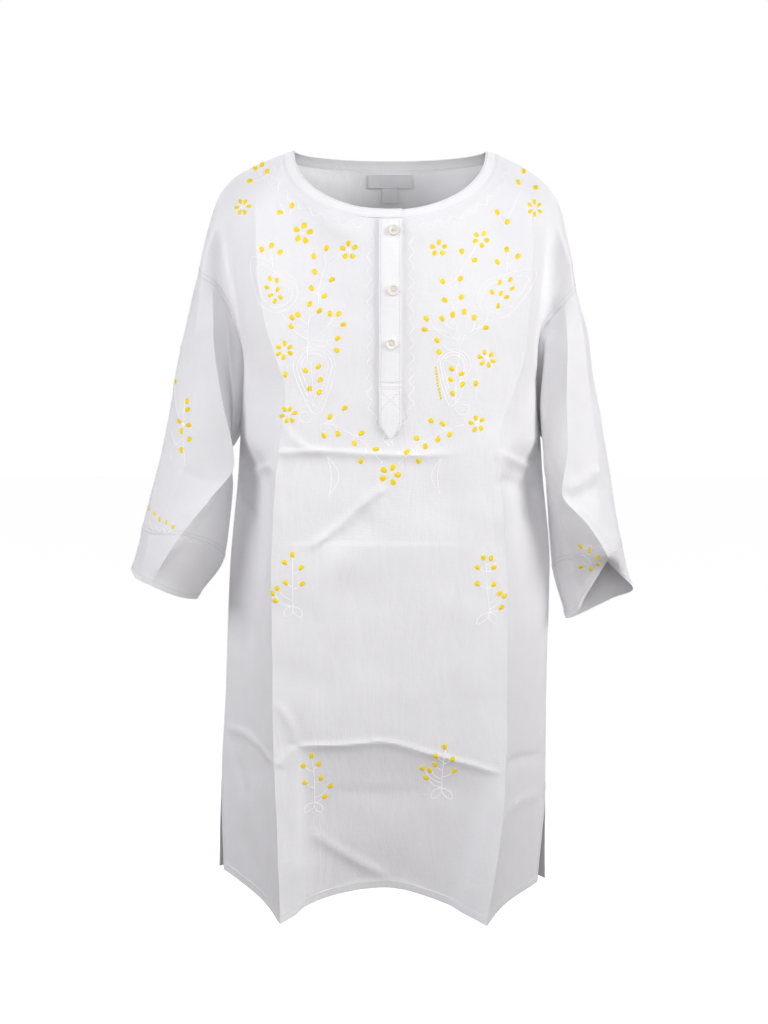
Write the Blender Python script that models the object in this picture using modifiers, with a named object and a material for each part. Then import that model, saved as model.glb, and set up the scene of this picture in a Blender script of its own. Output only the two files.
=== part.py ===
"""Kurta tunic of fine white cotton, hollow as it is worn, with the pieces a maker cuts and sews.

Frame: metres, +Z up. The wearer's chest faces -Y and their left arm is at +X. The origin lies between the two
neck points, where the shoulders carry the cloth. Tables are in millimetres: "out" is the distance from
the middle plane, "fore" the distance towards the chest, and "down" the depth below the neck points.
"""

import math

import bpy
import numpy as np

MM = 0.001

# Cloth, seams and the small pieces.
CLOTH = 1.2
SEAM_GAP = 0.3
LAYER = CLOTH + SEAM_GAP
BAND_WIDTH = 12.0
BAND_OVERLAP = 11.5
PLACKET_WIDTH = 23.0
PLACKET_SLIT = 5.0
PLACKET_TIP = 300.0
PLACKET_SHOULDER = 283.0
SLIT_END = 250.0
BUTTON_DIAMETER = 12.0
BUTTON_THICKNESS = 2.6
BUTTON_HOLE = 1.5
BUTTON_HOLE_SPACING = 2.4
BUTTONS = [("button_1", 3.5, 88.0), ("button_2", 3.0, 149.0), ("button_3", 1.0, 204.0)]
LABEL_SIZE = (48.0, 14.5)
LABEL_TOP = 21.0
TAB_SIZE = (17.0, 16.0)
BAND_UNDERLAP = 8.0
BAND_RISE = math.radians(14)
PLACKET_STEP = 16.0
TIP_TAPER = 0.85

# The neck opening: half an ellipse that dips to the chest, and a flatter one behind.
NECK_HALF_WIDTH = 102.5
NECK_FORE, NECK_FRONT_DROP = 70.0, 66.0
NECK_AFT, NECK_BACK_DROP = 55.0, 7.0
BAND_SPREAD = 12.0
BAND_SIDE_DROP = 4.0
BAND_FRONT_STEP = (7.5, 9.5)
BAND_BACK_STEP = (5.0, 11.0)

# Front panel. Each row is one section across the cloth. Its points are the folds that run down the panel:
# the middle of each half, the pressed crease, the edge of the body, the valley beside the arm, the ridge
# over the arm, and the armhole seam, which becomes the side seam under the arm.
FOLDS = ("half", "crease", "side", "valley", "ridge", "edge")
CENTRE_FRONT = {  # cut depth: (fore, down)
    0: (77, 76), 60: (84, 91), 90: (90, 107), 130: (97, 136), 170: (102, 172), 210: (106, 212),
    250: (109, 252), 300: (113, 302), 342: (117, 343), 450: (121, 451), 600: (120, 602), 690: (112, 690),
    800: (94, 787),
}
RIGHT_ARM_SIDE = {  # cut depth: (out, fore, down) at each fold
    0: ((114, 0, 4), (148, 0, 18), (166, 0, 28), (181, 0, 44), (195, 0, 80), (207, 0, 130)),
    60: ((121, 42, 50), (141, 50, 60), (163, 42, 67), (179, 29, 78), (193, 35, 104), (199, 40, 137)),
    90: ((116, 64, 87), (139, 72, 95), (163, 54, 100), (176, 34, 108), (186, 38, 124), (187, 43, 144)),
    130: ((108, 84, 130), (137, 88, 132), (160, 61, 135), (167, 44, 139), (171, 41, 149), (174, 37, 164)),
    170: ((98, 96, 172), (131, 96, 174), (155, 69, 176), (159, 54, 179), (161, 44, 184), (164, 36, 192)),
    210: ((88, 103, 212), (119, 102, 214), (148, 74, 214), (155, 55, 216), (157, 40, 219), (156, 26, 226)),
    250: ((80, 108, 252), (108, 107, 253), (140, 80, 255), (152, 58, 257), (157, 36, 260), (157, 12, 267)),
    300: ((76, 112, 302), (113, 111, 302), (138, 84, 303), (151, 58, 303), (159, 30, 304), (163, 0, 305)),
}
LEFT_ARM_SIDE = {
    0: ((114, 0, 4), (149, 0, 22), (164, 0, 33), (177, 0, 48), (190, 0, 88), (201, 0, 147)),
    60: ((122, 40, 49), (148, 47, 63), (160, 37, 70), (171, 28, 80), (187, 35, 112), (195, 38, 152)),
    90: ((118, 62, 87), (148, 69, 97), (158, 50, 103), (166, 34, 112), (180, 36, 136), (185, 41, 163)),
    130: ((109, 82, 130), (146, 84, 134), (154, 62, 139), (160, 44, 146), (168, 35, 160), (172, 33, 178)),
    170: ((99, 95, 172), (143, 92, 173), (151, 70, 177), (155, 51, 181), (158, 40, 188), (160, 31, 197)),
    210: ((90, 102, 212), (140, 97, 213), (149, 74, 215), (154, 53, 217), (157, 37, 220), (156, 20, 227)),
    250: ((82, 107, 252), (127, 102, 255), (144, 80, 257), (152, 57, 259), (157, 34, 262), (158, 8, 267)),
    300: ((77, 112, 302), (111, 110, 302), (135, 86, 303), (151, 59, 304), (160, 30, 305), (164, 0, 306)),
}
SKIRT = {  # cut depth: (half, crease, edge) below the arm, for the right-arm side and the left-arm side
    342: (((75, 116, 343), (118, 115, 343), (166, 0, 347)), ((75, 116, 343), (114, 114, 343), (167, 0, 347))),
    450: (((72, 121, 451), (123, 119, 451), (176, 0, 450)), ((70, 121, 451), (121, 119, 451), (176, 0, 450))),
    600: (((70, 121, 602), (122, 124, 602), (183, 0, 600)), ((70, 121, 602), (122, 125, 602), (174, 0, 600))),
    690: (((68, 116, 690), (119, 130, 690), (188, 0, 690)), ((66, 117, 690), (118, 131, 690), (174, 0, 692))),
    800: (((72, 104, 796), (115, 138, 808), (186, 6, 793)), ((62, 108, 801), (101, 139, 810), (165, 6, 808))),
}
SIDE_BOW = 0.05
NECK_BOW = {60: 17.0, 90: 6.0}  # how far a row under the neck bows out and down to run along it

# Back panel. It has no crease that shows, and its cloth hangs in one soft curve from arm to arm.
CENTRE_BACK = {  # cut depth: (aft, down)
    0: (60, 18), 60: (76, 62), 120: (88, 122), 180: (95, 181), 240: (99, 241), 300: (102, 302),
    342: (104, 343), 450: (107, 451), 600: (109, 601), 690: (109, 690), 800: (106, 798),
}
BACK_RIGHT_ARM_SIDE = {  # cut depth: (out, aft, down) at half, crease, side, valley, ridge, edge
    0: ((114, 0, 4), (148, 0, 18), (166, 0, 28), (181, 0, 44), (195, 0, 80), (207, 0, 130)),
    60: ((113, 43, 51), (140, 46, 66), (161, 42, 76), (176, 38, 92), (194, 36, 118), (204, 37, 148)),
    120: ((102, 74, 115), (134, 72, 126), (154, 66, 134), (169, 61, 146), (184, 57, 164), (192, 55, 184)),
    180: ((92, 87, 178), (129, 83, 182), (147, 74, 188), (159, 65, 198), (170, 57, 212), (177, 47, 229)),
    240: ((84, 93, 240), (126, 87, 241), (143, 75, 244), (154, 60, 250), (163, 42, 260), (168, 22, 273)),
    300: ((75, 97, 302), (124, 88, 302), (140, 74, 303), (150, 54, 303), (158, 29, 304), (163, 0, 305)),
}
BACK_LEFT_ARM_SIDE = {
    0: ((114, 0, 4), (149, 0, 22), (164, 0, 33), (177, 0, 48), (190, 0, 88), (201, 0, 147)),
    60: ((113, 43, 51), (141, 45, 68), (158, 42, 78), (171, 38, 96), (188, 36, 126), (197, 37, 163)),
    120: ((102, 74, 115), (134, 72, 126), (151, 66, 136), (164, 61, 150), (177, 57, 174), (186, 53, 198)),
    180: ((92, 87, 178), (129, 83, 182), (145, 74, 189), (156, 65, 200), (166, 56, 218), (174, 44, 238)),
    240: ((84, 93, 240), (126, 87, 241), (142, 75, 244), (153, 60, 251), (162, 41, 262), (168, 20, 276)),
    300: ((75, 97, 302), (124, 88, 302), (140, 74, 303), (151, 54, 304), (159, 29, 305), (164, 0, 306)),
}
BACK_SKIRT = {
    342: (((75, 99, 343), (124, 90, 343), (166, 0, 347)), ((75, 99, 343), (124, 90, 343), (167, 0, 347))),
    450: (((76, 102, 451), (126, 92, 451), (176, 0, 450)), ((76, 102, 451), (126, 92, 451), (176, 0, 450))),
    600: (((77, 103, 601), (128, 94, 601), (183, 0, 600)), ((77, 103, 601), (127, 93, 601), (174, 0, 600))),
    690: (((77, 103, 690), (130, 94, 690), (188, 0, 690)), ((77, 103, 690), (128, 93, 690), (174, 0, 692))),
    800: (((78, 101, 798), (132, 93, 797), (192, 9, 794)), ((78, 101, 799), (130, 92, 800), (175, 8, 808))),
}

# Sleeves. Each row is one ring round the arm, from the armhole to the cuff's hem. A point is (out, fore, down).
SLEEVE_FOLDS = ("outer", "crease", "front", "valley", "tuck", "under", "rear", "back")
RIGHT_SLEEVE = {  # share of the length: the ring's points
    0.12: ((219, 0, 178), (205, 40, 180), (187, 50, 186), (177, 30, 204), (170, 18, 260), (178, -5, 328),
           (184, -50, 265), (212, -50, 198)),
    0.34: ((235, 0, 245), (210, 44, 246), (180, 57, 252), (172, 34, 266), (174, 14, 304), (183, -12, 348),
           (187, -52, 310), (222, -58, 258)),
    0.58: ((250, 0, 322), (217, 52, 323), (165, 60, 330), (169, 40, 337), (172, 14, 345), (174, -16, 362),
           (182, -54, 352), (238, -58, 334)),
    0.74: ((264, 0, 378), (238, 50, 380), (191, 67, 368), (180, 46, 376), (175, 16, 388), (177, -14, 402),
           (184, -52, 396), (246, -56, 386)),
    0.85: ((273, 0, 409), (257, 43, 409), (222, 67, 407), (197, 55, 417), (184, 20, 432), (184, -14, 444),
           (194, -54, 440), (254, -54, 418)),
    1.00: ((285, 0, 452), (277, 32, 458), (258, 52, 463), (232, 50, 474), (214, 26, 482), (214, -8, 485),
           (228, -54, 481), (268, -50, 463)),
}
LEFT_SLEEVE = {
    0.12: ((214, 0, 198), (207, 39, 200), (187, 54, 206), (168, 46, 214), (167, 22, 256), (177, -6, 324),
           (184, -50, 272), (206, -50, 212)),
    0.30: ((222, 0, 245), (214, 37, 247), (186, 62, 254), (163, 52, 262), (170, 16, 298), (182, -12, 344),
           (185, -52, 302), (214, -52, 257)),
    0.52: ((233, 0, 304), (221, 37, 306), (188, 64, 312), (166, 57, 318), (170, 18, 330), (173, -16, 358),
           (180, -54, 345), (224, -54, 316)),
    0.70: ((243, 0, 362), (224, 42, 364), (182, 66, 361), (174, 50, 371), (173, 16, 385), (176, -16, 406),
           (184, -54, 398), (234, -54, 376)),
    0.82: ((250, 0, 401), (224, 50, 400), (210, 65, 397), (192, 54, 404), (179, 18, 414), (178, -16, 430),
           (186, -52, 430), (240, -52, 412)),
    0.88: ((255, 0, 425), (245, 42, 428), (232, 58, 430), (206, 47, 434), (187, 18, 442), (181, -14, 455),
           (190, -50, 462), (244, -48, 442)),
    1.00: ((267, 0, 474), (252, 15, 457), (236, 28, 441), (218, 27, 470), (203, 22, 500), (196, -6, 507),
           (208, -46, 515), (250, -40, 493)),
}
CUFF_STARTS = {"right": 0.85, "left": 0.88}

# How finely the cloth is divided between neighbouring folds.
NECK_SHARES = (0.13, 0.28, 0.43, 0.58, 0.72, 0.84, 0.93, 0.982, 1.0)
FRONT_ACROSS = ((0.03, *NECK_SHARES), 3, 2, 2, 2, 2)
BACK_ACROSS = (NECK_SHARES, 2, 2, 2, 2, 1)
FRONT_DOWN = (2, 2, 2, 2, 2, 1, 2, 1, 2, 2, 2, 3)
BACK_DOWN = (2, 2, 2, 2, 2, 1, 2, 2, 2, 2)
SLEEVE_ROUND = (2, 2, 2, 2, 5, 4, 4, 2)
SLEEVE_DOWN = {"right": (2, 3, 3, 2, 2, 2), "left": (2, 2, 3, 2, 2, 1, 3)}


def cubic(knots, values, tangents, at):
    """Cubic Hermite curve: at each knot it has the given value and slope."""
    shape = (-1,) + (1,) * (values.ndim - 1)
    index = np.clip(np.searchsorted(knots, at, side="right") - 1, 0, len(knots) - 2)
    width = np.diff(knots)[index].reshape(shape)
    t = (at - knots[index]).reshape(shape) / width
    return (
        (2 * t**3 - 3 * t**2 + 1) * values[index]
        + (t**3 - 2 * t**2 + t) * width * tangents[index]
        + (3 * t**2 - 2 * t**3) * values[index + 1]
        + (t**3 - t**2) * width * tangents[index + 1]
    )


def fair(knots, values, at, corners=()):
    """Smooth curve: each slope is the mean of its neighbours', weighted by nearness, but breaks at a corner."""
    knots, values, at = (np.asarray(each, float) for each in (knots, values, at))
    result = np.empty((len(at),) + values.shape[1:])
    cuts = [0, *sorted(corners), len(knots) - 1]
    for first, last in zip(cuts, cuts[1:]):
        knot, value = knots[first:last + 1], values[first:last + 1]
        step = np.diff(knot).reshape((-1,) + (1,) * (values.ndim - 1))
        slope = np.diff(value, axis=0) / step
        tangent = np.empty_like(value)
        tangent[1:-1] = (slope[:-1] * step[1:] + slope[1:] * step[:-1]) / (step[:-1] + step[1:])
        tangent[0] = slope[0] if len(slope) == 1 else 1.5 * slope[0] - 0.5 * tangent[1]
        tangent[-1] = slope[-1] if len(slope) == 1 else 1.5 * slope[-1] - 0.5 * tangent[-2]
        chosen = (at >= knot[0] - 1e-9) & (at <= knot[-1] + 1e-9)
        result[chosen] = cubic(knot, value, tangent, at[chosen])
    return result


def steady(knots, values, at):
    """Smooth curve that never swings past a value: a slope is the harmonic mean of its neighbours', or level."""
    knots, values, at = (np.asarray(each, float) for each in (knots, values, at))
    slope = np.diff(values, axis=0) / np.diff(knots).reshape((-1,) + (1,) * (values.ndim - 1))
    before, after = slope[:-1], slope[1:]
    same_way = before * after > 0
    total = np.where(same_way, before + after, 1.0)
    middle = np.where(same_way, 2 * before * after / total, 0.0)
    return cubic(knots, values, np.concatenate([slope[:1], middle, slope[-1:]]), at)


def spaced(knots, divisions):
    """The knots with divisions[i] steps, or the shares listed there, between knot i and the next."""
    found = [knots[0]]
    for start, end, division in zip(knots, knots[1:], divisions):
        shares = division if isinstance(division, tuple) else np.arange(1, division + 1) / division
        found += [start + share * (end - start) for share in shares]
    return np.array(found)


def along(points, divisions, corners=()):
    """A fair curve through the points, parted by chord length and divided between each point and the next."""
    points = np.asarray(points, float)
    knots = np.concatenate([[0], np.cumsum(np.linalg.norm(np.diff(points, axis=0), axis=1))])
    return fair(knots, points, spaced(knots, divisions), corners)


def neck_point(turn, inset):
    """A point of the neck band: turn is the angle from the centre front, inset the width from its inner edge."""
    turn, inset = np.broadcast_arrays(np.asarray(turn, float), np.asarray(inset, float) / BAND_WIDTH)
    cosine, sine = np.cos(turn), np.sin(turn)
    front = cosine > 0
    fore = np.where(front, NECK_FORE, NECK_AFT)
    drop = np.where(front, NECK_FRONT_DROP, NECK_BACK_DROP)
    step_out = np.where(front, BAND_FRONT_STEP[0], BAND_BACK_STEP[0])
    step_down = np.where(front, BAND_FRONT_STEP[1], BAND_BACK_STEP[1])
    return np.stack(
        [
            (NECK_HALF_WIDTH + inset * BAND_SPREAD) * sine,
            -(fore + inset * step_out) * cosine,
            -(drop + inset * step_down) * np.abs(cosine) - inset * BAND_SIDE_DROP * sine**2,
        ],
        axis=-1,
    )


def place(side, facing, point):
    """Turns a table's (out, fore or aft, down) into x, y, z: side is +1 or -1 on X and facing on Y."""
    out, depth, down = point
    return (side * out, facing * depth, -down)


def panel_rows(side, facing, upper, skirt, skirt_side):
    """The points at the folds of one half, a row for each cut depth."""
    rows = {depth: [place(side, facing, p) for p in points] for depth, points in upper.items()}
    for depth, pair in skirt.items():
        half, crease, edge = (np.array(place(side, facing, p), float) for p in pair[skirt_side])
        rows[depth] = [half, crease]
        for share in (0.25, 0.5, 0.75):
            bow = SIDE_BOW * np.linalg.norm(edge - crease) * math.sin(math.pi * share)
            rows[depth].append(crease + share * (edge - crease) - side * np.array([bow, 0, 0]))
        rows[depth].append(edge)
    return rows


def panel_grid(facing, centre, halves, across, downward):
    """Outer face of a panel as rows of points, from the right arm's edge to the left arm's."""
    depths = sorted(centre)
    half_columns = sum(count(part) for part in across)
    lines = []
    for depth in depths:
        fore, down = centre[depth]
        arms = [np.array(rows[depth], float) for rows in halves]
        if depth == 0:
            shares = np.concatenate([[0], across[0]])
            fine = []
            for side, arm in zip((-1, 1), arms):
                turn = np.arcsin(shares)
                turn = side * (turn if facing < 0 else math.pi - turn)
                neck = neck_point(turn, BAND_WIDTH + SEAM_GAP)
                seam = along(np.array([neck[-1], *arm[1:]]), across[1:])
                fine.append(np.concatenate([neck, seam[1:]]))
            right, left = fine
        else:
            middle = np.array([[0.0, facing * fore, -down]])
            points = np.concatenate([arms[0][::-1], middle, arms[1]])
            divisions = [reverse(part) for part in across[::-1]] + list(across)
            line = along(points, divisions, crease_corners(facing))
            if facing < 0:
                bow = NECK_BOW.get(depth, 0.0) * np.sin(math.pi * np.array([0, *across[0]])) ** 2
                reach = half_columns + np.arange(len(bow))
                for columns in (reach, 2 * half_columns - reach):
                    line[columns] -= bow[:, None] * np.array([0, 1, 1])
            right, left = line[:half_columns + 1][::-1], line[half_columns:]
        lines.append(np.concatenate([right[::-1], left[1:]]))
    grid = steady(depths, np.array(lines), spaced(depths, downward))
    return grid if facing < 0 else grid[:, ::-1]


def reverse(division):
    """The same division seen from its other end."""
    if isinstance(division, tuple):
        return tuple(1 - share for share in division[-2::-1]) + (1.0,)
    return division


def count(division):
    return len(division) if isinstance(division, tuple) else division


def crease_corners(facing):
    """Both pressed creases of the front are sharp; the back has none."""
    crease = FOLDS.index("crease") + 1
    return (len(FOLDS) - crease, len(FOLDS) + crease) if facing < 0 else ()


def unit(vectors):
    return vectors / np.linalg.norm(vectors, axis=-1, keepdims=True)


def normals_of(grid, ring=False):
    """Unit normals of a grid: each point takes the mean of the normals of the cells round it.

    The way down the rows crossed with the way along them points outward.
    """
    if ring:
        grid = np.concatenate([grid, grid[:, :1]], axis=1)
    cell = unit(np.cross(grid[1:, 1:] - grid[:-1, :-1], grid[:-1, 1:] - grid[1:, :-1]))
    total = np.zeros_like(grid)
    for rows in (slice(None, -1), slice(1, None)):
        for columns in (slice(None, -1), slice(1, None)):
            total[rows, columns] += cell
    if ring:
        total[:, 0] += total[:, -1]
        total = total[:, :-1]
    return unit(total)


def neck_normal(turn):
    """Outward normal of the neck band at its outer edge, shared by the panels that it is sewn to."""
    step = 0.01
    down = neck_point(turn, BAND_WIDTH) - neck_point(turn, 0)
    around = neck_point(turn + step, BAND_WIDTH) - neck_point(turn - step, BAND_WIDTH)
    normal = unit(np.cross(down, around))
    at_shoulder = np.abs(np.cos(turn)) < 1e-6
    return np.where(at_shoulder[..., None], level(normal), normal)


def level(normal):
    """Normals turned to lie across the seam plane, so that two pieces that meet there share a mitre."""
    return unit(normal * np.array([1.0, 0.0, 1.0]))


def panel_normals(grid, facing, across, seam_rows):
    """Normals of a panel, mitred at the shoulder and side seams and taken from the band at the neck."""
    normal = normals_of(grid)
    neck_columns = count(across[0])
    middle = grid.shape[1] // 2
    outer = np.abs(np.arange(grid.shape[1]) - middle) >= neck_columns
    normal[0, outer] = level(normal[0, outer])
    shares = np.concatenate([[0], across[0]])
    for side in (-1, 1):
        turn = np.arcsin(shares)
        turn = side * (turn if facing < 0 else math.pi - turn)
        columns = middle - facing * side * np.arange(neck_columns + 1)
        normal[0, columns] = neck_normal(turn)
    for column in (0, -1):
        normal[0, column] = level(normal[0, column])
        normal[seam_rows:, column] = level(normal[seam_rows:, column])
    return normal


def material(name, colour, roughness):
    made = bpy.data.materials.new(name)
    made.use_nodes = True
    shader = made.node_tree.nodes["Principled BSDF"]
    shader.inputs["Base Color"].default_value = (*colour, 1)
    shader.inputs["Roughness"].default_value = roughness
    shader.inputs["Metallic"].default_value = 0.0
    made.diffuse_color = (*colour, 1)
    return made


def add_object(name, points, faces, finish):
    mesh = bpy.data.meshes.new(name)
    mesh.from_pydata([tuple(point * MM) for point in points], [], faces)
    mesh.materials.append(finish)
    mesh.shade_smooth()
    mesh.set_sharp_from_angle(angle=math.radians(40))
    made = bpy.data.objects.new(name, mesh)
    collection.objects.link(made)
    return made


def wall(name, outer, normals, finish, thickness=CLOTH, ring=False, hole=None):
    """Closed cloth wall: the outer grid, the same points moved in by the thickness, and the rims between.

    ring joins the last column to the first; hole(row, column) tells which cells are cut away.
    """
    rows, columns = outer.shape[:2]
    points = np.concatenate([outer.reshape(-1, 3), (outer - thickness * normals).reshape(-1, 3)])
    inner = rows * columns
    cells = [
        (row * columns + column, row * columns + (column + 1) % columns)
        for row in range(rows - 1)
        for column in range(columns if ring else columns - 1)
        if hole is None or not hole(row, column)
    ]
    faces, edges = [], set()
    for a, b in cells:
        c, d = b + columns, a + columns
        faces += [(a, d, c, b), (inner + a, inner + b, inner + c, inner + d)]
        edges |= {(a, d), (d, c), (c, b), (b, a)}
    faces += [(b, a, inner + a, inner + b) for a, b in sorted(edges) if (b, a) not in edges]
    used = sorted({index for face in faces for index in face})
    place_of = {index: position for position, index in enumerate(used)}
    faces = [tuple(place_of[index] for index in face) for face in faces]
    return add_object(name, points[used], faces, finish)


def ring_points(side, table_row):
    """One ring of the sleeve through its folds; the crease and the front fold are sharp."""
    points = np.array([(side * out, -fore, -down) for out, fore, down in table_row], float)
    start = SLEEVE_FOLDS.index("crease")
    rolled = np.roll(points, -start, axis=0)
    closed = np.concatenate([rolled, rolled[:1]])
    divisions = SLEEVE_ROUND[start:] + SLEEVE_ROUND[:start]
    fine = along(closed, divisions, corners=(SLEEVE_FOLDS.index("front") - start,))
    return np.roll(fine[:-1], sum(SLEEVE_ROUND[:start]), axis=0)


def sleeve_grid(name, side, armhole, rings):
    """Outer face of a sleeve with its cuff, as rings of points from the armhole down, and the cuff's first row."""
    shares = [0.0, *sorted(rings)]
    lines = np.array([armhole] + [ring_points(side, rings[share]) for share in shares[1:]])
    at = spaced(shares, SLEEVE_DOWN[name])
    grid = steady(shares, lines, at)
    cuff_row = int(np.argmin(np.abs(at - CUFF_STARTS[name]))) + 1
    grid = np.insert(grid, cuff_row, grid[cuff_row - 1], axis=0)
    grid[cuff_row] += SEAM_GAP * unit(grid[cuff_row + 1] - grid[cuff_row])
    return grid, cuff_row


def square_to(seam, direction):
    """The unit part of a direction that is square to the seam."""
    return unit(direction - (direction * seam).sum(axis=-1, keepdims=True) * seam)


def mitre(normal_a, normal_b, away_a, away_b):
    """The wall direction that two cloths share round a seam, evened out between neighbouring points."""
    flat, sharp = normal_a + normal_b, away_a + away_b
    sign = np.sign((flat * sharp).sum(axis=-1, keepdims=True))
    shared = unit(flat + sign * sharp)
    return unit(np.roll(shared, 1, axis=0) + 2 * shared + np.roll(shared, -1, axis=0))


def panel_height(grid, out, down):
    """Y of a panel's outer face where a line along Y meets it, near the middle."""
    order = slice(None) if grid[1, 0, 0] < grid[1, -1, 0] else slice(None, None, -1)
    heights = [np.interp(out, row[order, 0], row[order, 1]) for row in grid]
    downs = [np.interp(out, row[order, 0], -row[order, 2]) for row in grid]
    return float(np.interp(down, downs, heights))


def raised(panel, facing, out, down, lift):
    """Y of a point that lies the height of lift off the panel's outer face."""
    step = 3.0
    slope = (panel_height(panel, out, down + step) - panel_height(panel, out, down - step)) / (2 * step)
    return panel_height(panel, out, down) + facing * lift * math.hypot(1, slope)


def patch(name, panel, facing, outs, downs, lift, thickness, finish):
    """A layer lying on a panel: its points at each (out, down), raised off the panel by lift."""
    grid = np.array([
        [(out, raised(panel, facing, out, down, lift), -down) for out in row]
        for row, down in zip(outs, downs)
    ])
    if facing > 0:
        grid = grid[:, ::-1]
    return wall(name, grid, normals_of(grid), finish, thickness)


for thing in list(bpy.data.objects):
    bpy.data.objects.remove(thing)
collection = bpy.data.collections.new("kurta_tunic")
bpy.context.scene.collection.children.link(collection)
cutters = bpy.data.collections.new("cutters")
bpy.context.scene.collection.children.link(cutters)

cotton = material("white_cotton", (0.84, 0.84, 0.86), 0.85)
facing_cotton = material("white_facing_cotton", (0.88, 0.88, 0.89), 0.8)
tape = material("label_tape", (0.78, 0.78, 0.77), 0.7)
pearl = material("pearl_resin", (0.80, 0.78, 0.72), 0.3)


# Front and back: one piece each, joined at the shoulders and, down to the slits, at the sides.
front_halves = [
    panel_rows(-1, -1, RIGHT_ARM_SIDE, SKIRT, 0),
    panel_rows(1, -1, LEFT_ARM_SIDE, SKIRT, 1),
]
back_halves = [
    panel_rows(-1, 1, BACK_RIGHT_ARM_SIDE, BACK_SKIRT, 0),
    panel_rows(1, 1, BACK_LEFT_ARM_SIDE, BACK_SKIRT, 1),
]
front = panel_grid(-1, CENTRE_FRONT, front_halves, FRONT_ACROSS, FRONT_DOWN)
back = panel_grid(1, CENTRE_BACK, back_halves, BACK_ACROSS, BACK_DOWN)
front_arm_rows = sum(FRONT_DOWN[:sorted(CENTRE_FRONT).index(300)])
back_arm_rows = sum(BACK_DOWN[:sorted(CENTRE_BACK).index(300)])
slit_row = sum(FRONT_DOWN[:sorted(CENTRE_FRONT).index(SLIT_END)])
front_normals = panel_normals(front, -1, FRONT_ACROSS, front_arm_rows)
back_normals = panel_normals(back, 1, BACK_ACROSS, back_arm_rows)
front[..., 1] -= SEAM_GAP / 2
back[..., 1] += SEAM_GAP / 2
middle_column = front.shape[1] // 2


def in_slit(row, column):
    return row < slit_row and column in (middle_column - 1, middle_column)


# Sleeves and cuffs. The armhole ring takes its points from the panels' edges, and shares its mitres with them.
for side, name, rings in ((-1, "right", RIGHT_SLEEVE), (1, "left", LEFT_SLEEVE)):
    front_column, front_next = (0, 1) if side < 0 else (-1, -2)
    back_column, back_next = (-1, -2) if side < 0 else (0, 1)
    down_front = slice(0, front_arm_rows + 1)
    up_back = slice(back_arm_rows - 1, 0, -1)
    armhole, inside, panel_side = (
        np.concatenate([on_front[down_front, front_at], on_back[up_back, back_at]])
        for on_front, on_back, front_at, back_at in (
            (front, back, front_column, back_column),
            (front, back, front_next, back_next),
            (front_normals, back_normals, front_column, back_column),
        )
    )
    armhole[[0, front_arm_rows], 1] = 0
    grid, cuff_row = sleeve_grid(name, side, armhole, rings)
    inside[front_arm_rows] = front[front_arm_rows + 1, front_column]
    seam = unit(np.roll(armhole, -1, axis=0) - np.roll(armhole, 1, axis=0))
    inside = square_to(seam, inside - armhole)
    along_sleeve = square_to(seam, grid[1] - grid[0])
    if side > 0:
        grid = grid[:, ::-1]
    normals = normals_of(grid, ring=True)
    shared = unit(normals[cuff_row - 1] + normals[cuff_row])
    normals[cuff_row - 1] = normals[cuff_row] = shared
    sleeve_side = normals[0] if side < 0 else normals[0, ::-1]
    mitres = mitre(panel_side, sleeve_side, inside, along_sleeve)
    for seam_end in (0, front_arm_rows):
        mitres[seam_end] = level(mitres[seam_end])
    front_normals[down_front, front_column] = mitres[:front_arm_rows + 1]
    back_normals[up_back, back_column] = mitres[front_arm_rows + 1:]
    back_normals[0, back_column] = mitres[0]
    back_normals[back_arm_rows, back_column] = mitres[front_arm_rows]
    gap = SEAM_GAP * unit(along_sleeve - inside)
    normals[0], grid[0] = (mitres, grid[0] + gap) if side < 0 else (mitres[::-1], grid[0] + gap[::-1])
    wall(f"{name}_sleeve", grid[:cuff_row], normals[:cuff_row], cotton, ring=True)
    wall(f"{name}_cuff", grid[cuff_row:], normals[cuff_row:], cotton, ring=True)

wall("front_panel", front, front_normals, cotton, hole=in_slit)
wall("back_panel", back, back_normals, cotton)

# Neck band: one strip that starts on the upper placket, goes round the neck and ends under its own start.
upper_end = math.asin(BAND_OVERLAP / NECK_HALF_WIDTH)
quarter = np.arcsin(np.array([0, 0.03, *NECK_SHARES]))
half = np.concatenate([quarter, math.pi - quarter[-2::-1]])
under_end = -math.asin(BAND_UNDERLAP / NECK_HALF_WIDTH)
turns = np.concatenate([[under_end - 2 * math.pi], -2 * math.pi + half, -half[-2::-1], [upper_end]])
insets = np.linspace(0, BAND_WIDTH, 4)
band = neck_point(turns[None, :], insets[:, None])
lift = LAYER * np.clip((turns - under_end) / BAND_RISE + 1.1, 0, 1)
band_normals = normals_of(band)
band_normals[-1] = neck_normal(turns)
band += lift[:, None] * band_normals
wall("neck_band", band, band_normals, facing_cotton)

# Placket: an under strip and a pointed upper strip, one on the other over the front slit.
def strip(name, first, last, half_width, lift, tip_start=None):
    """A strip of the placket from one depth to another, narrowing to a blunt point from tip_start on."""
    downs = np.linspace(first, last, round((last - first) / PLACKET_STEP) + 1)
    widths = [half_width] * len(downs)
    if tip_start is not None:
        downs = np.concatenate([downs[downs < tip_start - 1], np.linspace(tip_start, last, 5)])
        share = np.clip((downs - tip_start) / (last - tip_start), 0, 1)
        widths = half_width * (1 - TIP_TAPER * share**1.5)
    outs = [[share * width for share in (-1, -0.33, 0.33, 1)] for width in widths]
    patch(name, front, -1, outs, downs, lift, CLOTH, facing_cotton)


placket_top = NECK_FRONT_DROP + BAND_FRONT_STEP[1] + 4 * SEAM_GAP
strip("placket_under", placket_top, SLIT_END + 4, PLACKET_WIDTH / 2 - 1, LAYER + SEAM_GAP)
strip("placket_upper", placket_top, PLACKET_TIP, PLACKET_WIDTH / 2, 2 * LAYER + SEAM_GAP, PLACKET_SHOULDER)


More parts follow.
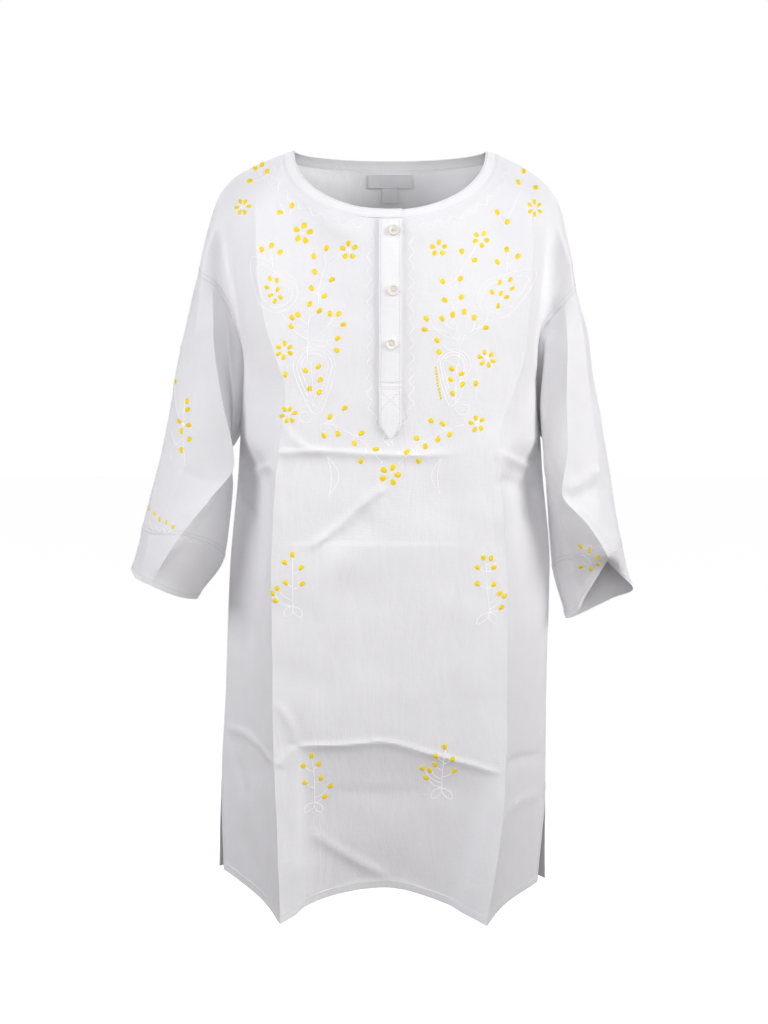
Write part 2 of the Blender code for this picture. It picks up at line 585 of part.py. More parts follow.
# Buttons: turned pearl-like resin, with a raised rim round a dish and two pairs of thread holes.
def button(name, out, down):
    """A button lying on the upper placket at (out, down), leaning as the cloth under it does."""
    half, rim = BUTTON_DIAMETER / 2, BUTTON_THICKNESS
    profile = [(0, 0.6 * rim), (0.55 * half, 0.6 * rim), (0.72 * half, rim), (0.92 * half, rim),
               (half, 0.7 * rim), (half, 0.3 * rim), (0.85 * half, 0), (0, 0)]
    mesh = bpy.data.meshes.new(name)
    mesh.from_pydata([(r * MM, 0, z * MM) for r, z in profile], [(i, i + 1) for i in range(len(profile) - 1)], [])
    mesh.materials.append(pearl)
    made = bpy.data.objects.new(name, mesh)
    collection.objects.link(made)
    screw = made.modifiers.new("turned", "SCREW")
    screw.steps = screw.render_steps = 20
    screw.use_merge_vertices = True
    screw.merge_threshold = 1e-6
    for x, y in ((1, 1), (1, -1), (-1, 1), (-1, -1)):
        bpy.ops.mesh.primitive_cylinder_add(vertices=8, radius=BUTTON_HOLE / 2 * MM, depth=4 * rim * MM)
        drill = bpy.context.object
        drill.name = f"{name}_drill_{x}_{y}"
        drill.hide_render = True
        drill.display_type = "WIRE"
        for home in list(drill.users_collection):
            home.objects.unlink(drill)
        cutters.objects.link(drill)
        drill.parent = made
        drill.location = (x * BUTTON_HOLE_SPACING / 2 * MM, y * BUTTON_HOLE_SPACING / 2 * MM, 0)
        cut = made.modifiers.new(drill.name, "BOOLEAN")
        cut.operation = "DIFFERENCE"
        cut.object = drill
    rise = 6.0
    slope = panel_height(front, out, down + rise) - panel_height(front, out, down - rise)
    lean = math.atan2(slope, 2 * rise)
    lift = 2 * LAYER + 2 * SEAM_GAP
    made.location = (out * MM, raised(front, -1, out, down, lift) * MM, -down * MM)
    made.rotation_euler = (math.pi / 2 + lean, 0, 0)


for name, out, down in BUTTONS:
    button(name, out, down)

# Blank woven label and the small tab under it, on the inside of the back.
for name, (width, height), top, finish in (
    ("neck_label", LABEL_SIZE, LABEL_TOP, tape),
    ("size_tab", TAB_SIZE, LABEL_TOP + LABEL_SIZE[1] + SEAM_GAP, tape),
):
    downs = np.linspace(top, top + height, 3)
    outs = [np.linspace(-width / 2, width / 2, 5)] * len(downs)
    patch(name, back, 1, outs, downs, -LAYER - SEAM_GAP, 1.0, finish)
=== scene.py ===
"""Kurta tunic of fine white cotton with yellow and white hand embroidery, hollow as it is worn, on a pale floor.

Frame: metres, +Z up. The wearer's chest faces -Y and their left arm is at +X. The origin lies between the two
neck points. Tables are in millimetres: "out" is the distance from the middle plane, "fore" the distance
towards the chest, and "down" the depth below the neck points.
"""

import math

import bpy
import numpy as np
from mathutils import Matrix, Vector
from mathutils.bvhtree import BVHTree


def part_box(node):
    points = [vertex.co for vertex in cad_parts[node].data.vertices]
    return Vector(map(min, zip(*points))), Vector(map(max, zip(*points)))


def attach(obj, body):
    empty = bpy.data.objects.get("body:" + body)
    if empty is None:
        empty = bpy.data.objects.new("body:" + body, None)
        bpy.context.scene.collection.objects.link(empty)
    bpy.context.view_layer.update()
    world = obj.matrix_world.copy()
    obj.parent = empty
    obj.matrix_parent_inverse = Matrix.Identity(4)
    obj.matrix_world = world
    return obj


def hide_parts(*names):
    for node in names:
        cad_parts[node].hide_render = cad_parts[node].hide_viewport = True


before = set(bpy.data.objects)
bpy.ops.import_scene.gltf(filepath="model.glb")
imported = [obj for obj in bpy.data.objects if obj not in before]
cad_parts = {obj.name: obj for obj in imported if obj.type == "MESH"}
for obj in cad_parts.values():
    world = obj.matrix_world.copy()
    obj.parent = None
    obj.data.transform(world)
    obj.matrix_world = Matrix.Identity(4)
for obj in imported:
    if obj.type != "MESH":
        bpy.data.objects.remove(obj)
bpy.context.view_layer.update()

MM = 0.001

# Cloth, seams and the small pieces, as the solids have them.
CLOTH = 0.9
SEAM_GAP = 0.3
SEWN_GAP = 0.18
LAYER = 1.5
BAND_WIDTH = 12.0
BAND_OVERLAP = 11.5
BAND_UNDERLAP = 8.0
BAND_RISE = math.radians(14)
PLACKET_WIDTH = 23.0
PLACKET_TIP = 300.0
PLACKET_SHOULDER = 283.0
PLACKET_STEP = 1.25
TIP_TAPER = 0.85
SLIT_END = 250.0
HEM_TURNING = 8.5
CUFF_TURNING = 7.0
SLIT_TURNING = 5.0
TURNING_RISE = 0.75
FELLED_WIDTH = 7.0
SHARP_FOLD = math.radians(30)

# The neck opening: half an ellipse that dips to the chest, and a flatter one behind.
NECK_HALF_WIDTH = 102.5
NECK_FORE, NECK_FRONT_DROP = 70.0, 66.0
NECK_AFT, NECK_BACK_DROP = 55.0, 7.0
BAND_SPREAD = 12.0
BAND_SIDE_DROP = 4.0
BAND_FRONT_STEP = (7.5, 9.5)
BAND_BACK_STEP = (5.0, 11.0)

# Front panel. Each row is one section across the cloth. Its points are the folds that run down the panel:
# the middle of each half, the pressed crease, the edge of the body, the valley beside the arm, the ridge
# over the arm, and the armhole seam, which becomes the side seam under the arm.
FOLDS = ("half", "crease", "side", "valley", "ridge", "edge")
CENTRE_FRONT = {  # cut depth: (fore, down)
    0: (77, 76), 60: (84, 91), 90: (90, 107), 130: (97, 136), 170: (102, 172), 210: (106, 212),
    250: (109, 252), 300: (113, 302), 342: (117, 343), 450: (121, 451), 600: (120, 602), 690: (112, 690),
    800: (94, 787),
}
RIGHT_ARM_SIDE = {  # cut depth: (out, fore, down) at each fold
    0: ((114, 0, 4), (148, 0, 18), (166, 0, 28), (181, 0, 44), (195, 0, 80), (207, 0, 130)),
    60: ((121, 42, 50), (141, 50, 60), (163, 42, 67), (179, 29, 78), (193, 35, 104), (199, 40, 137)),
    90: ((116, 64, 87), (139, 72, 95), (163, 54, 100), (176, 34, 108), (186, 38, 124), (187, 43, 144)),
    130: ((108, 84, 130), (137, 88, 132), (160, 61, 135), (167, 44, 139), (171, 41, 149), (174, 37, 164)),
    170: ((98, 96, 172), (131, 96, 174), (155, 69, 176), (159, 54, 179), (161, 44, 184), (164, 36, 192)),
    210: ((88, 103, 212), (119, 102, 214), (148, 74, 214), (155, 55, 216), (157, 40, 219), (156, 26, 226)),
    250: ((80, 108, 252), (108, 107, 253), (140, 80, 255), (152, 58, 257), (157, 36, 260), (157, 12, 267)),
    300: ((76, 112, 302), (113, 111, 302), (138, 84, 303), (151, 58, 303), (159, 30, 304), (163, 0, 305)),
}
LEFT_ARM_SIDE = {
    0: ((114, 0, 4), (149, 0, 22), (164, 0, 33), (177, 0, 48), (190, 0, 88), (201, 0, 147)),
    60: ((122, 40, 49), (148, 47, 63), (160, 37, 70), (171, 28, 80), (187, 35, 112), (195, 38, 152)),
    90: ((118, 62, 87), (148, 69, 97), (158, 50, 103), (166, 34, 112), (180, 36, 136), (185, 41, 163)),
    130: ((109, 82, 130), (146, 84, 134), (154, 62, 139), (160, 44, 146), (168, 35, 160), (172, 33, 178)),
    170: ((99, 95, 172), (143, 92, 173), (151, 70, 177), (155, 51, 181), (158, 40, 188), (160, 31, 197)),
    210: ((90, 102, 212), (140, 97, 213), (149, 74, 215), (154, 53, 217), (157, 37, 220), (156, 20, 227)),
    250: ((82, 107, 252), (127, 102, 255), (144, 80, 257), (152, 57, 259), (157, 34, 262), (158, 8, 267)),
    300: ((77, 112, 302), (111, 110, 302), (135, 86, 303), (151, 59, 304), (160, 30, 305), (164, 0, 306)),
}
SKIRT = {  # cut depth: (half, crease, edge) below the arm, for the right-arm side and the left-arm side
    342: (((75, 116, 343), (118, 115, 343), (166, 0, 347)), ((75, 116, 343), (114, 114, 343), (167, 0, 347))),
    450: (((72, 121, 451), (123, 119, 451), (176, 0, 450)), ((70, 121, 451), (121, 119, 451), (176, 0, 450))),
    600: (((70, 121, 602), (122, 124, 602), (183, 0, 600)), ((70, 121, 602), (122, 125, 602), (174, 0, 600))),
    690: (((68, 116, 690), (119, 130, 690), (188, 0, 690)), ((66, 117, 690), (118, 131, 690), (174, 0, 692))),
    800: (((72, 104, 796), (115, 138, 808), (186, 6, 793)), ((62, 108, 801), (101, 139, 810), (165, 6, 808))),
}
SIDE_BOW = 0.05
NECK_BOW = {60: 17.0, 90: 6.0}  # how far a row under the neck bows out and down to run along it

# Back panel. It has no crease that shows, and its cloth hangs in one soft curve from arm to arm.
CENTRE_BACK = {  # cut depth: (aft, down)
    0: (60, 18), 60: (76, 62), 120: (88, 122), 180: (95, 181), 240: (99, 241), 300: (102, 302),
    342: (104, 343), 450: (107, 451), 600: (109, 601), 690: (109, 690), 800: (106, 798),
}
BACK_RIGHT_ARM_SIDE = {  # cut depth: (out, aft, down) at half, crease, side, valley, ridge, edge
    0: RIGHT_ARM_SIDE[0],
    60: ((113, 43, 51), (140, 46, 66), (161, 42, 76), (176, 38, 92), (194, 36, 118), (204, 37, 148)),
    120: ((102, 74, 115), (134, 72, 126), (154, 66, 134), (169, 61, 146), (184, 57, 164), (192, 55, 184)),
    180: ((92, 87, 178), (129, 83, 182), (147, 74, 188), (159, 65, 198), (170, 57, 212), (177, 47, 229)),
    240: ((84, 93, 240), (126, 87, 241), (143, 75, 244), (154, 60, 250), (163, 42, 260), (168, 22, 273)),
    300: ((75, 97, 302), (124, 88, 302), (140, 74, 303), (150, 54, 303), (158, 29, 304), (163, 0, 305)),
}
BACK_LEFT_ARM_SIDE = {
    0: LEFT_ARM_SIDE[0],
    60: ((113, 43, 51), (141, 45, 68), (158, 42, 78), (171, 38, 96), (188, 36, 126), (197, 37, 163)),
    120: ((102, 74, 115), (134, 72, 126), (151, 66, 136), (164, 61, 150), (177, 57, 174), (186, 53, 198)),
    180: ((92, 87, 178), (129, 83, 182), (145, 74, 189), (156, 65, 200), (166, 56, 218), (174, 44, 238)),
    240: ((84, 93, 240), (126, 87, 241), (142, 75, 244), (153, 60, 251), (162, 41, 262), (168, 20, 276)),
    300: ((75, 97, 302), (124, 88, 302), (140, 74, 303), (151, 54, 304), (159, 29, 305), (164, 0, 306)),
}
BACK_SKIRT = {
    342: (((75, 99, 343), (124, 90, 343), (166, 0, 347)), ((75, 99, 343), (124, 90, 343), (167, 0, 347))),
    450: (((76, 102, 451), (126, 92, 451), (176, 0, 450)), ((76, 102, 451), (126, 92, 451), (176, 0, 450))),
    600: (((77, 103, 601), (128, 94, 601), (183, 0, 600)), ((77, 103, 601), (127, 93, 601), (174, 0, 600))),
    690: (((77, 103, 690), (130, 94, 690), (188, 0, 690)), ((77, 103, 690), (128, 93, 690), (174, 0, 692))),
    800: (((78, 101, 798), (132, 93, 797), (192, 9, 794)), ((78, 101, 799), (130, 92, 800), (175, 8, 808))),
}

# Sleeves. Each row is one ring round the arm, from the armhole to the cuff's hem. A point is (out, fore, down).
SLEEVE_FOLDS = ("outer", "crease", "front", "valley", "tuck", "under", "rear", "back")
RIGHT_SLEEVE = {  # share of the length: the ring's points
    0.12: ((219, 0, 178), (205, 40, 180), (187, 50, 186), (177, 30, 204), (170, 18, 260), (178, -5, 328),
           (184, -50, 265), (212, -50, 198)),
    0.34: ((235, 0, 245), (210, 44, 246), (180, 57, 252), (172, 34, 266), (174, 14, 304), (183, -12, 348),
           (187, -52, 310), (222, -58, 258)),
    0.58: ((250, 0, 322), (217, 52, 323), (165, 60, 330), (169, 40, 337), (172, 14, 345), (174, -16, 362),
           (182, -54, 352), (238, -58, 334)),
    0.74: ((264, 0, 378), (238, 50, 380), (191, 67, 368), (180, 46, 376), (175, 16, 388), (177, -14, 402),
           (184, -52, 396), (246, -56, 386)),
    0.85: ((273, 0, 409), (257, 43, 409), (222, 67, 407), (197, 55, 417), (184, 20, 432), (184, -14, 444),
           (194, -54, 440), (254, -54, 418)),
    1.00: ((285, 0, 452), (277, 32, 458), (258, 52, 463), (232, 50, 474), (214, 26, 482), (214, -8, 485),
           (228, -54, 481), (268, -50, 463)),
}
LEFT_SLEEVE = {
    0.12: ((214, 0, 198), (207, 39, 200), (187, 54, 206), (168, 46, 214), (167, 22, 256), (177, -6, 324),
           (184, -50, 272), (206, -50, 212)),
    0.30: ((222, 0, 245), (214, 37, 247), (186, 62, 254), (163, 52, 262), (170, 16, 298), (182, -12, 344),
           (185, -52, 302), (214, -52, 257)),
    0.52: ((233, 0, 304), (221, 37, 306), (188, 64, 312), (166, 57, 318), (170, 18, 330), (173, -16, 358),
           (180, -54, 345), (224, -54, 316)),
    0.70: ((243, 0, 362), (224, 42, 364), (182, 66, 361), (174, 50, 371), (173, 16, 385), (176, -16, 406),
           (184, -54, 398), (234, -54, 376)),
    0.82: ((250, 0, 401), (224, 50, 400), (210, 65, 397), (192, 54, 404), (179, 18, 414), (178, -16, 430),
           (186, -52, 430), (240, -52, 412)),
    0.88: ((255, 0, 425), (245, 42, 428), (232, 58, 430), (206, 47, 434), (187, 18, 442), (181, -14, 455),
           (190, -50, 462), (244, -48, 442)),
    1.00: ((267, 0, 474), (252, 15, 457), (236, 28, 441), (218, 27, 470), (203, 22, 500), (196, -6, 507),
           (208, -46, 515), (250, -40, 493)),
}
CUFF_STARTS = {"right": 0.85, "left": 0.88}

# How finely the cloth is divided between neighbouring folds.
NECK_SHARES = (0.03, *np.sin(np.linspace(0, math.pi / 2, 32)[2:]))
FRONT_ACROSS = (NECK_SHARES, 14, 9, 9, 9, 9)
BACK_ACROSS = (NECK_SHARES, 12, 8, 8, 8, 6)
HEM_SHARES = (*np.linspace(0, 0.9, 20)[1:], 0.918, 0.924, 0.945, 0.97, 1.0)
FRONT_DOWN = (14, 8, 10, 10, 12, 6, 12, 24, 42, 38, 38, HEM_SHARES)
BACK_DOWN = (14, 12, 12, 12, 12, 14, 30, 36, 26, HEM_SHARES)
SLEEVE_ROUND = (14, 8, 10, 10, 30, 24, 24, 14)
SLEEVE_DOWN = {"right": (12, 22, 24, 16, 11, 18), "left": (12, 18, 22, 18, 12, 6, 16)}


def cubic(knots, values, tangents, at):
    """Cubic Hermite curve: at each knot it has the given value and slope."""
    shape = (-1,) + (1,) * (values.ndim - 1)
    index = np.clip(np.searchsorted(knots, at, side="right") - 1, 0, len(knots) - 2)
    width = np.diff(knots)[index].reshape(shape)
    t = (at - knots[index]).reshape(shape) / width
    return (
        (2 * t**3 - 3 * t**2 + 1) * values[index]
        + (t**3 - 2 * t**2 + t) * width * tangents[index]
        + (3 * t**2 - 2 * t**3) * values[index + 1]
        + (t**3 - t**2) * width * tangents[index + 1]
    )


def fair(knots, values, at, corners=()):
    """Smooth curve: each slope is the mean of its neighbours', weighted by nearness, but breaks at a corner."""
    knots, values, at = (np.asarray(each, float) for each in (knots, values, at))
    result = np.empty((len(at),) + values.shape[1:])
    cuts = [0, *sorted(corners), len(knots) - 1]
    for first, last in zip(cuts, cuts[1:]):
        knot, value = knots[first:last + 1], values[first:last + 1]
        step = np.diff(knot).reshape((-1,) + (1,) * (values.ndim - 1))
        slope = np.diff(value, axis=0) / step
        tangent = np.empty_like(value)
        tangent[1:-1] = (slope[:-1] * step[1:] + slope[1:] * step[:-1]) / (step[:-1] + step[1:])
        tangent[0] = slope[0] if len(slope) == 1 else 1.5 * slope[0] - 0.5 * tangent[1]
        tangent[-1] = slope[-1] if len(slope) == 1 else 1.5 * slope[-1] - 0.5 * tangent[-2]
        chosen = (at >= knot[0] - 1e-9) & (at <= knot[-1] + 1e-9)
        result[chosen] = cubic(knot, value, tangent, at[chosen])
    return result


def steady(knots, values, at):
    """Smooth curve that never swings past a value: a slope is the harmonic mean of its neighbours', or level."""
    knots, values, at = (np.asarray(each, float) for each in (knots, values, at))
    slope = np.diff(values, axis=0) / np.diff(knots).reshape((-1,) + (1,) * (values.ndim - 1))
    before, after = slope[:-1], slope[1:]
    same_way = before * after > 0
    total = np.where(same_way, before + after, 1.0)
    middle = np.where(same_way, 2 * before * after / total, 0.0)
    return cubic(knots, values, np.concatenate([slope[:1], middle, slope[-1:]]), at)


def spaced(knots, divisions):
    """The knots with divisions[i] steps, or the shares listed there, between knot i and the next."""
    found = [knots[0]]
    for start, end, division in zip(knots, knots[1:], divisions):
        shares = division if isinstance(division, tuple) else np.arange(1, division + 1) / division
        found += [start + share * (end - start) for share in shares]
    return np.array(found)


def run_lengths(points):
    """Distance along a line of points from its start to each one, or along each column of a grid."""
    steps = np.linalg.norm(np.diff(points, axis=0), axis=-1)
    return np.concatenate([np.zeros((1,) + steps.shape[1:]), np.cumsum(steps, axis=0)])


def read_at(at, lengths, values):
    """Values that are given at some lengths along a line, read off at others."""
    return np.stack([np.interp(at, lengths, column) for column in values.T], axis=1)


def along(points, divisions, corners=()):
    """A fair curve through the points, parted by chord length and divided between each point and the next."""
    points = np.asarray(points, float)
    knots = run_lengths(points)
    return fair(knots, points, spaced(knots, divisions), corners)


def neck_point(turn, inset):
    """A point of the neck band: turn is the angle from the centre front, inset the width from its inner edge."""
    turn, inset = np.broadcast_arrays(np.asarray(turn, float), np.asarray(inset, float) / BAND_WIDTH)
    cosine, sine = np.cos(turn), np.sin(turn)
    front = cosine > 0
    fore = np.where(front, NECK_FORE, NECK_AFT)
    drop = np.where(front, NECK_FRONT_DROP, NECK_BACK_DROP)
    step_out = np.where(front, BAND_FRONT_STEP[0], BAND_BACK_STEP[0])
    step_down = np.where(front, BAND_FRONT_STEP[1], BAND_BACK_STEP[1])
    return np.stack(
        [
            (NECK_HALF_WIDTH + inset * BAND_SPREAD) * sine,
            -(fore + inset * step_out) * cosine,
            -(drop + inset * step_down) * np.abs(cosine) - inset * BAND_SIDE_DROP * sine**2,
        ],
        axis=-1,
    )


def neck_turns(side, facing):
    """Angles round the neck of the panel's columns that meet it, from the middle out to one shoulder."""
    turn = np.arcsin(np.array([0, *NECK_SHARES]))
    return side * (turn if facing < 0 else math.pi - turn)


def place(side, facing, point):
    """Turns a table's (out, fore or aft, down) into x, y, z: side is +1 or -1 on X and facing on Y."""
    out, depth, down = point
    return (side * out, facing * depth, -down)


def panel_rows(side, facing, upper, skirt, skirt_side):
    """The points at the folds of one half, a row for each cut depth."""
    rows = {depth: [place(side, facing, p) for p in points] for depth, points in upper.items()}
    for depth, pair in skirt.items():
        half, crease, edge = (np.array(place(side, facing, p), float) for p in pair[skirt_side])
        rows[depth] = [half, crease]
        for share in (0.25, 0.5, 0.75):
            bow = SIDE_BOW * np.linalg.norm(edge - crease) * math.sin(math.pi * share)
            rows[depth].append(crease + share * (edge - crease) - side * np.array([bow, 0, 0]))
        rows[depth].append(edge)
    return rows


def panel_grid(facing, centre, halves, across, downward):
    """Outer face of a panel as rows of points, from the right arm's edge to the left arm's."""
    depths = sorted(centre)
    half_columns = sum(count(part) for part in across)
    lines = []
    for depth in depths:
        fore, down = centre[depth]
        arms = [np.array(rows[depth], float) for rows in halves]
        if depth == 0:
            fine = []
            for side, arm in zip((-1, 1), arms):
                neck = neck_point(neck_turns(side, facing), BAND_WIDTH + SEWN_GAP)
                seam = along(np.array([neck[-1], *arm[1:]]), across[1:])
                fine.append(np.concatenate([neck, seam[1:]]))
            right, left = fine
        else:
            middle = np.array([[0.0, facing * fore, -down]])
            points = np.concatenate([arms[0][::-1], middle, arms[1]])
            divisions = [reverse(part) for part in across[::-1]] + list(across)
            line = along(points, divisions, crease_corners(facing))
            if facing < 0:
                bow = NECK_BOW.get(depth, 0.0) * np.sin(math.pi * np.array([0, *across[0]])) ** 2
                reach = half_columns + np.arange(len(bow))
                for columns in (reach, 2 * half_columns - reach):
                    line[columns] -= bow[:, None] * np.array([0, 1, 1])
            right, left = line[:half_columns + 1][::-1], line[half_columns:]
        lines.append(np.concatenate([right[::-1], left[1:]]))
    grid = steady(depths, np.array(lines), spaced(depths, downward))
    return grid if facing < 0 else grid[:, ::-1]


def reverse(division):
    """The same division seen from its other end."""
    if isinstance(division, tuple):
        return tuple(1 - share for share in division[-2::-1]) + (1.0,)
    return division


def count(division):
    return len(division) if isinstance(division, tuple) else division


def crease_corners(facing):
    """Both pressed creases of the front are sharp; the back has none."""
    crease = FOLDS.index("crease") + 1
    return (len(FOLDS) - crease, len(FOLDS) + crease) if facing < 0 else ()


def unit(vectors):
    return vectors / np.linalg.norm(vectors, axis=-1, keepdims=True)


def normals_of(grid, ring=False):
    """Unit normals of a grid: each point takes the mean of the normals of the cells round it.

    The way down the rows crossed with the way along them points outward.
    """
    if ring:
        grid = np.concatenate([grid, grid[:, :1]], axis=1)
    cell = unit(np.cross(grid[1:, 1:] - grid[:-1, :-1], grid[:-1, 1:] - grid[1:, :-1]))
    total = np.zeros_like(grid)
    for rows in (slice(None, -1), slice(1, None)):
        for columns in (slice(None, -1), slice(1, None)):
            total[rows, columns] += cell
    if ring:
        total[:, 0] += total[:, -1]
        total = total[:, :-1]
    return unit(total)


def neck_normal(turn):
    """Outward normal of the neck band at its outer edge, shared by the panels that it is sewn to."""
    step = 0.01
    down = neck_point(turn, BAND_WIDTH) - neck_point(turn, 0)
    around = neck_point(turn + step, BAND_WIDTH) - neck_point(turn - step, BAND_WIDTH)
    normal = unit(np.cross(down, around))
    at_shoulder = np.abs(np.cos(turn)) < 1e-6
    return np.where(at_shoulder[..., None], level(normal), normal)


def level(normal):
    """Normals turned to lie across the seam plane, so that two pieces that meet there share a mitre."""
    return unit(normal * np.array([1.0, 0.0, 1.0]))


def panel_normals(grid, facing, across, seam_rows):
    """Normals of a panel, mitred at the shoulder and side seams and taken from the band at the neck."""
    normal = normals_of(grid)
    neck_columns = count(across[0])
    middle = grid.shape[1] // 2
    outer = np.abs(np.arange(grid.shape[1]) - middle) >= neck_columns
    normal[0, outer] = level(normal[0, outer])
    for side in (-1, 1):
        columns = middle - facing * side * np.arange(neck_columns + 1)
        normal[0, columns] = neck_normal(neck_turns(side, facing))
    for column in (0, -1):
        normal[0, column] = level(normal[0, column])
        normal[seam_rows:, column] = level(normal[seam_rows:, column])
    return normal


def ring_points(side, table_row):
    """One ring of the sleeve through its folds; the crease and the front fold are sharp."""
    points = np.array([(side * out, -fore, -down) for out, fore, down in table_row], float)
    start = SLEEVE_FOLDS.index("crease")
    rolled = np.roll(points, -start, axis=0)
    closed = np.concatenate([rolled, rolled[:1]])
    divisions = SLEEVE_ROUND[start:] + SLEEVE_ROUND[:start]
    fine = along(closed, divisions, corners=(SLEEVE_FOLDS.index("front") - start,))
    return np.roll(fine[:-1], sum(SLEEVE_ROUND[:start]), axis=0)


def sleeve_grid(name, side, armhole, rings):
    """Outer face of a sleeve with its cuff, as rings of points from the armhole down, and the cuff's first row."""
    shares = [0.0, *sorted(rings)]
    lines = np.array([armhole] + [ring_points(side, rings[share]) for share in shares[1:]])
    at = spaced(shares, SLEEVE_DOWN[name])
    grid = steady(shares, lines, at)
    cuff_row = int(np.argmin(np.abs(at - CUFF_STARTS[name]))) + 1
    grid = np.insert(grid, cuff_row, grid[cuff_row - 1], axis=0)
    grid[cuff_row] += SEWN_GAP * unit(grid[cuff_row + 1] - grid[cuff_row])
    return grid, cuff_row


def square_to(seam, direction):
    """The unit part of a direction that is square to the seam."""
    return unit(direction - (direction * seam).sum(axis=-1, keepdims=True) * seam)


def mitre(normal_a, normal_b, away_a, away_b):
    """The wall direction that two cloths share round a seam, evened out between neighbouring points."""
    flat, sharp = normal_a + normal_b, away_a + away_b
    sign = np.sign((flat * sharp).sum(axis=-1, keepdims=True))
    shared = unit(flat + sign * sharp)
    return unit(np.roll(shared, 1, axis=0) + 2 * shared + np.roll(shared, -1, axis=0))



def linear(code):
    """A colour written as six hex digits, as the linear values that a lamp takes."""
    parts = [int(code[i:i + 2], 16) / 255 for i in (0, 2, 4)]
    return tuple(p / 12.92 if p <= 0.04045 else ((p + 0.055) / 1.055) ** 2.4 for p in parts)


def opaque(code):
    """The same for a shader, which takes a fourth value for cover."""
    return (*linear(code), 1)


def add_node(tree, kind, inputs=(), **settings):
    """A shader node with its settings, its input values and the links into it."""
    node = tree.nodes.new("ShaderNode" + kind)
    for name, value in settings.items():
        setattr(node, name, value)
    for name, value in dict(inputs).items():
        if isinstance(value, bpy.types.NodeSocket):
            tree.links.new(value, node.inputs[name])
        else:
            node.inputs[name].default_value = value
    return node


def blend(tree, factor, first, second):
    """A colour between two, by a factor from 0 to 1."""
    node = add_node(tree, "Mix", {"Factor": factor, 6: opaque(first), 7: opaque(second)}, data_type="RGBA")
    return node.outputs[2]


def raised(tree, height, strength, distance, **inputs):
    """A normal bent by a height, over the distance in metres."""
    inputs.update({"Height": height, "Strength": strength, "Distance": distance})
    return add_node(tree, "Bump", inputs).outputs["Normal"]


def new_material(name, colour, roughness, sheen=0.0):
    made = bpy.data.materials.new(name)
    made.use_nodes = True
    made.diffuse_color = opaque(colour)
    shader = made.node_tree.nodes["Principled BSDF"]
    for socket, value in (("Base Color", opaque(colour)), ("Roughness", roughness), ("Sheen Weight", sheen)):
        shader.inputs[socket].default_value = value
    return made, made.node_tree, shader


def cloth_material(name, colour, shade, slub):
    """Plain-woven cotton: faint mottling between two near colours, soft crumples, and slubs along both threads."""
    made, tree, shader = new_material(name, colour, 0.85, sheen=0.12)
    where = add_node(tree, "TexCoord").outputs["Object"]

    def noise(stretch, scale, detail, **inputs):
        turned = add_node(tree, "Mapping", {"Vector": where, "Scale": stretch}).outputs["Vector"]
        inputs.update({"Vector": turned, "Scale": scale, "Detail": detail})
        return add_node(tree, "TexNoise", inputs).outputs["Fac"]

    mottle = add_node(tree, "TexNoise", {"Vector": where, "Scale": 55.0, "Detail": 3.0}).outputs["Fac"]
    tree.links.new(blend(tree, mottle, colour, shade), shader.inputs["Base Color"])
    upright, level_threads = (noise(stretch, 900.0, 2.0) for stretch in ((1.0, 1.0, 0.12), (0.12, 0.12, 1.0)))
    threads = add_node(tree, "Math", {0: upright, 1: level_threads}, operation="ADD").outputs[0]
    crumple = raised(tree, noise((1.0, 1.0, 0.3), 42.0, 5.0, Distortion=0.6), 0.5, 0.0030)
    tree.links.new(raised(tree, threads, slub, 0.0004, Normal=crumple), shader.inputs["Normal"])
    return made


def satin_material(name, colour, shade):
    """Satin stitch: fine parallel threads across each petal, from its own colour to a deeper shade."""
    made, tree, shader = new_material(name, colour, 0.6)
    along_petal = add_node(tree, "UVMap").outputs["UV"]
    threads = add_node(tree, "TexWave", {"Vector": along_petal, "Scale": 2.6, "Distortion": 1.2},
                       bands_direction="Y").outputs["Fac"]
    tone = add_node(tree, "Math", {0: threads, 1: 0.4}, operation="MULTIPLY").outputs[0]
    tree.links.new(blend(tree, tone, colour, shade), shader.inputs["Base Color"])
    tree.links.new(raised(tree, threads, 0.4, 0.0003), shader.inputs["Normal"])
    return made


cotton = cloth_material("cotton", "F0F0F2", "EBEBEE", 0.5)
facing_cotton = cloth_material("facing_cotton", "F6F6F7", "F1F1F4", 0.4)
label_tape = cloth_material("label_tape", "E4E4E7", "DBDBDE", 0.2)
# Stitching thread: painted grey, darker than the white cloth, as painted shade of the dents that the stitches pull
# into each seam and hem.
seam_shade_thread = new_material("seam_shade_thread", "CDCDD4", 0.6, sheen=0.2)[0]
button_floss = new_material("button_floss", "E6E4DE", 0.6)[0]
white_floss = new_material("white_floss", "FBFBFC", 0.45, sheen=0.3)[0]
yellow_floss = satin_material("yellow_floss", "FFE914", "FFC800")
pearl = new_material("pearl", "ECE9E0", 0.22)[0]


def add_object(name, points, faces, finish, uvs=None):
    """A smooth mesh object riding on the garment, from points in millimetres."""
    mesh = bpy.data.meshes.new(name)
    mesh.from_pydata((np.asarray(points) * MM).tolist(), [], faces)
    mesh.materials.append(finish)
    mesh.shade_smooth()
    if uvs is not None:
        layer = mesh.uv_layers.new(name="UVMap")
        loops = np.empty(len(mesh.loops), int)
        mesh.loops.foreach_get("vertex_index", loops)
        layer.data.foreach_set("uv", np.asarray(uvs, float)[loops].ravel())
    made = bpy.data.objects.new(name, mesh)
    bpy.context.scene.collection.objects.link(made)
    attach(made, "root")
    return made


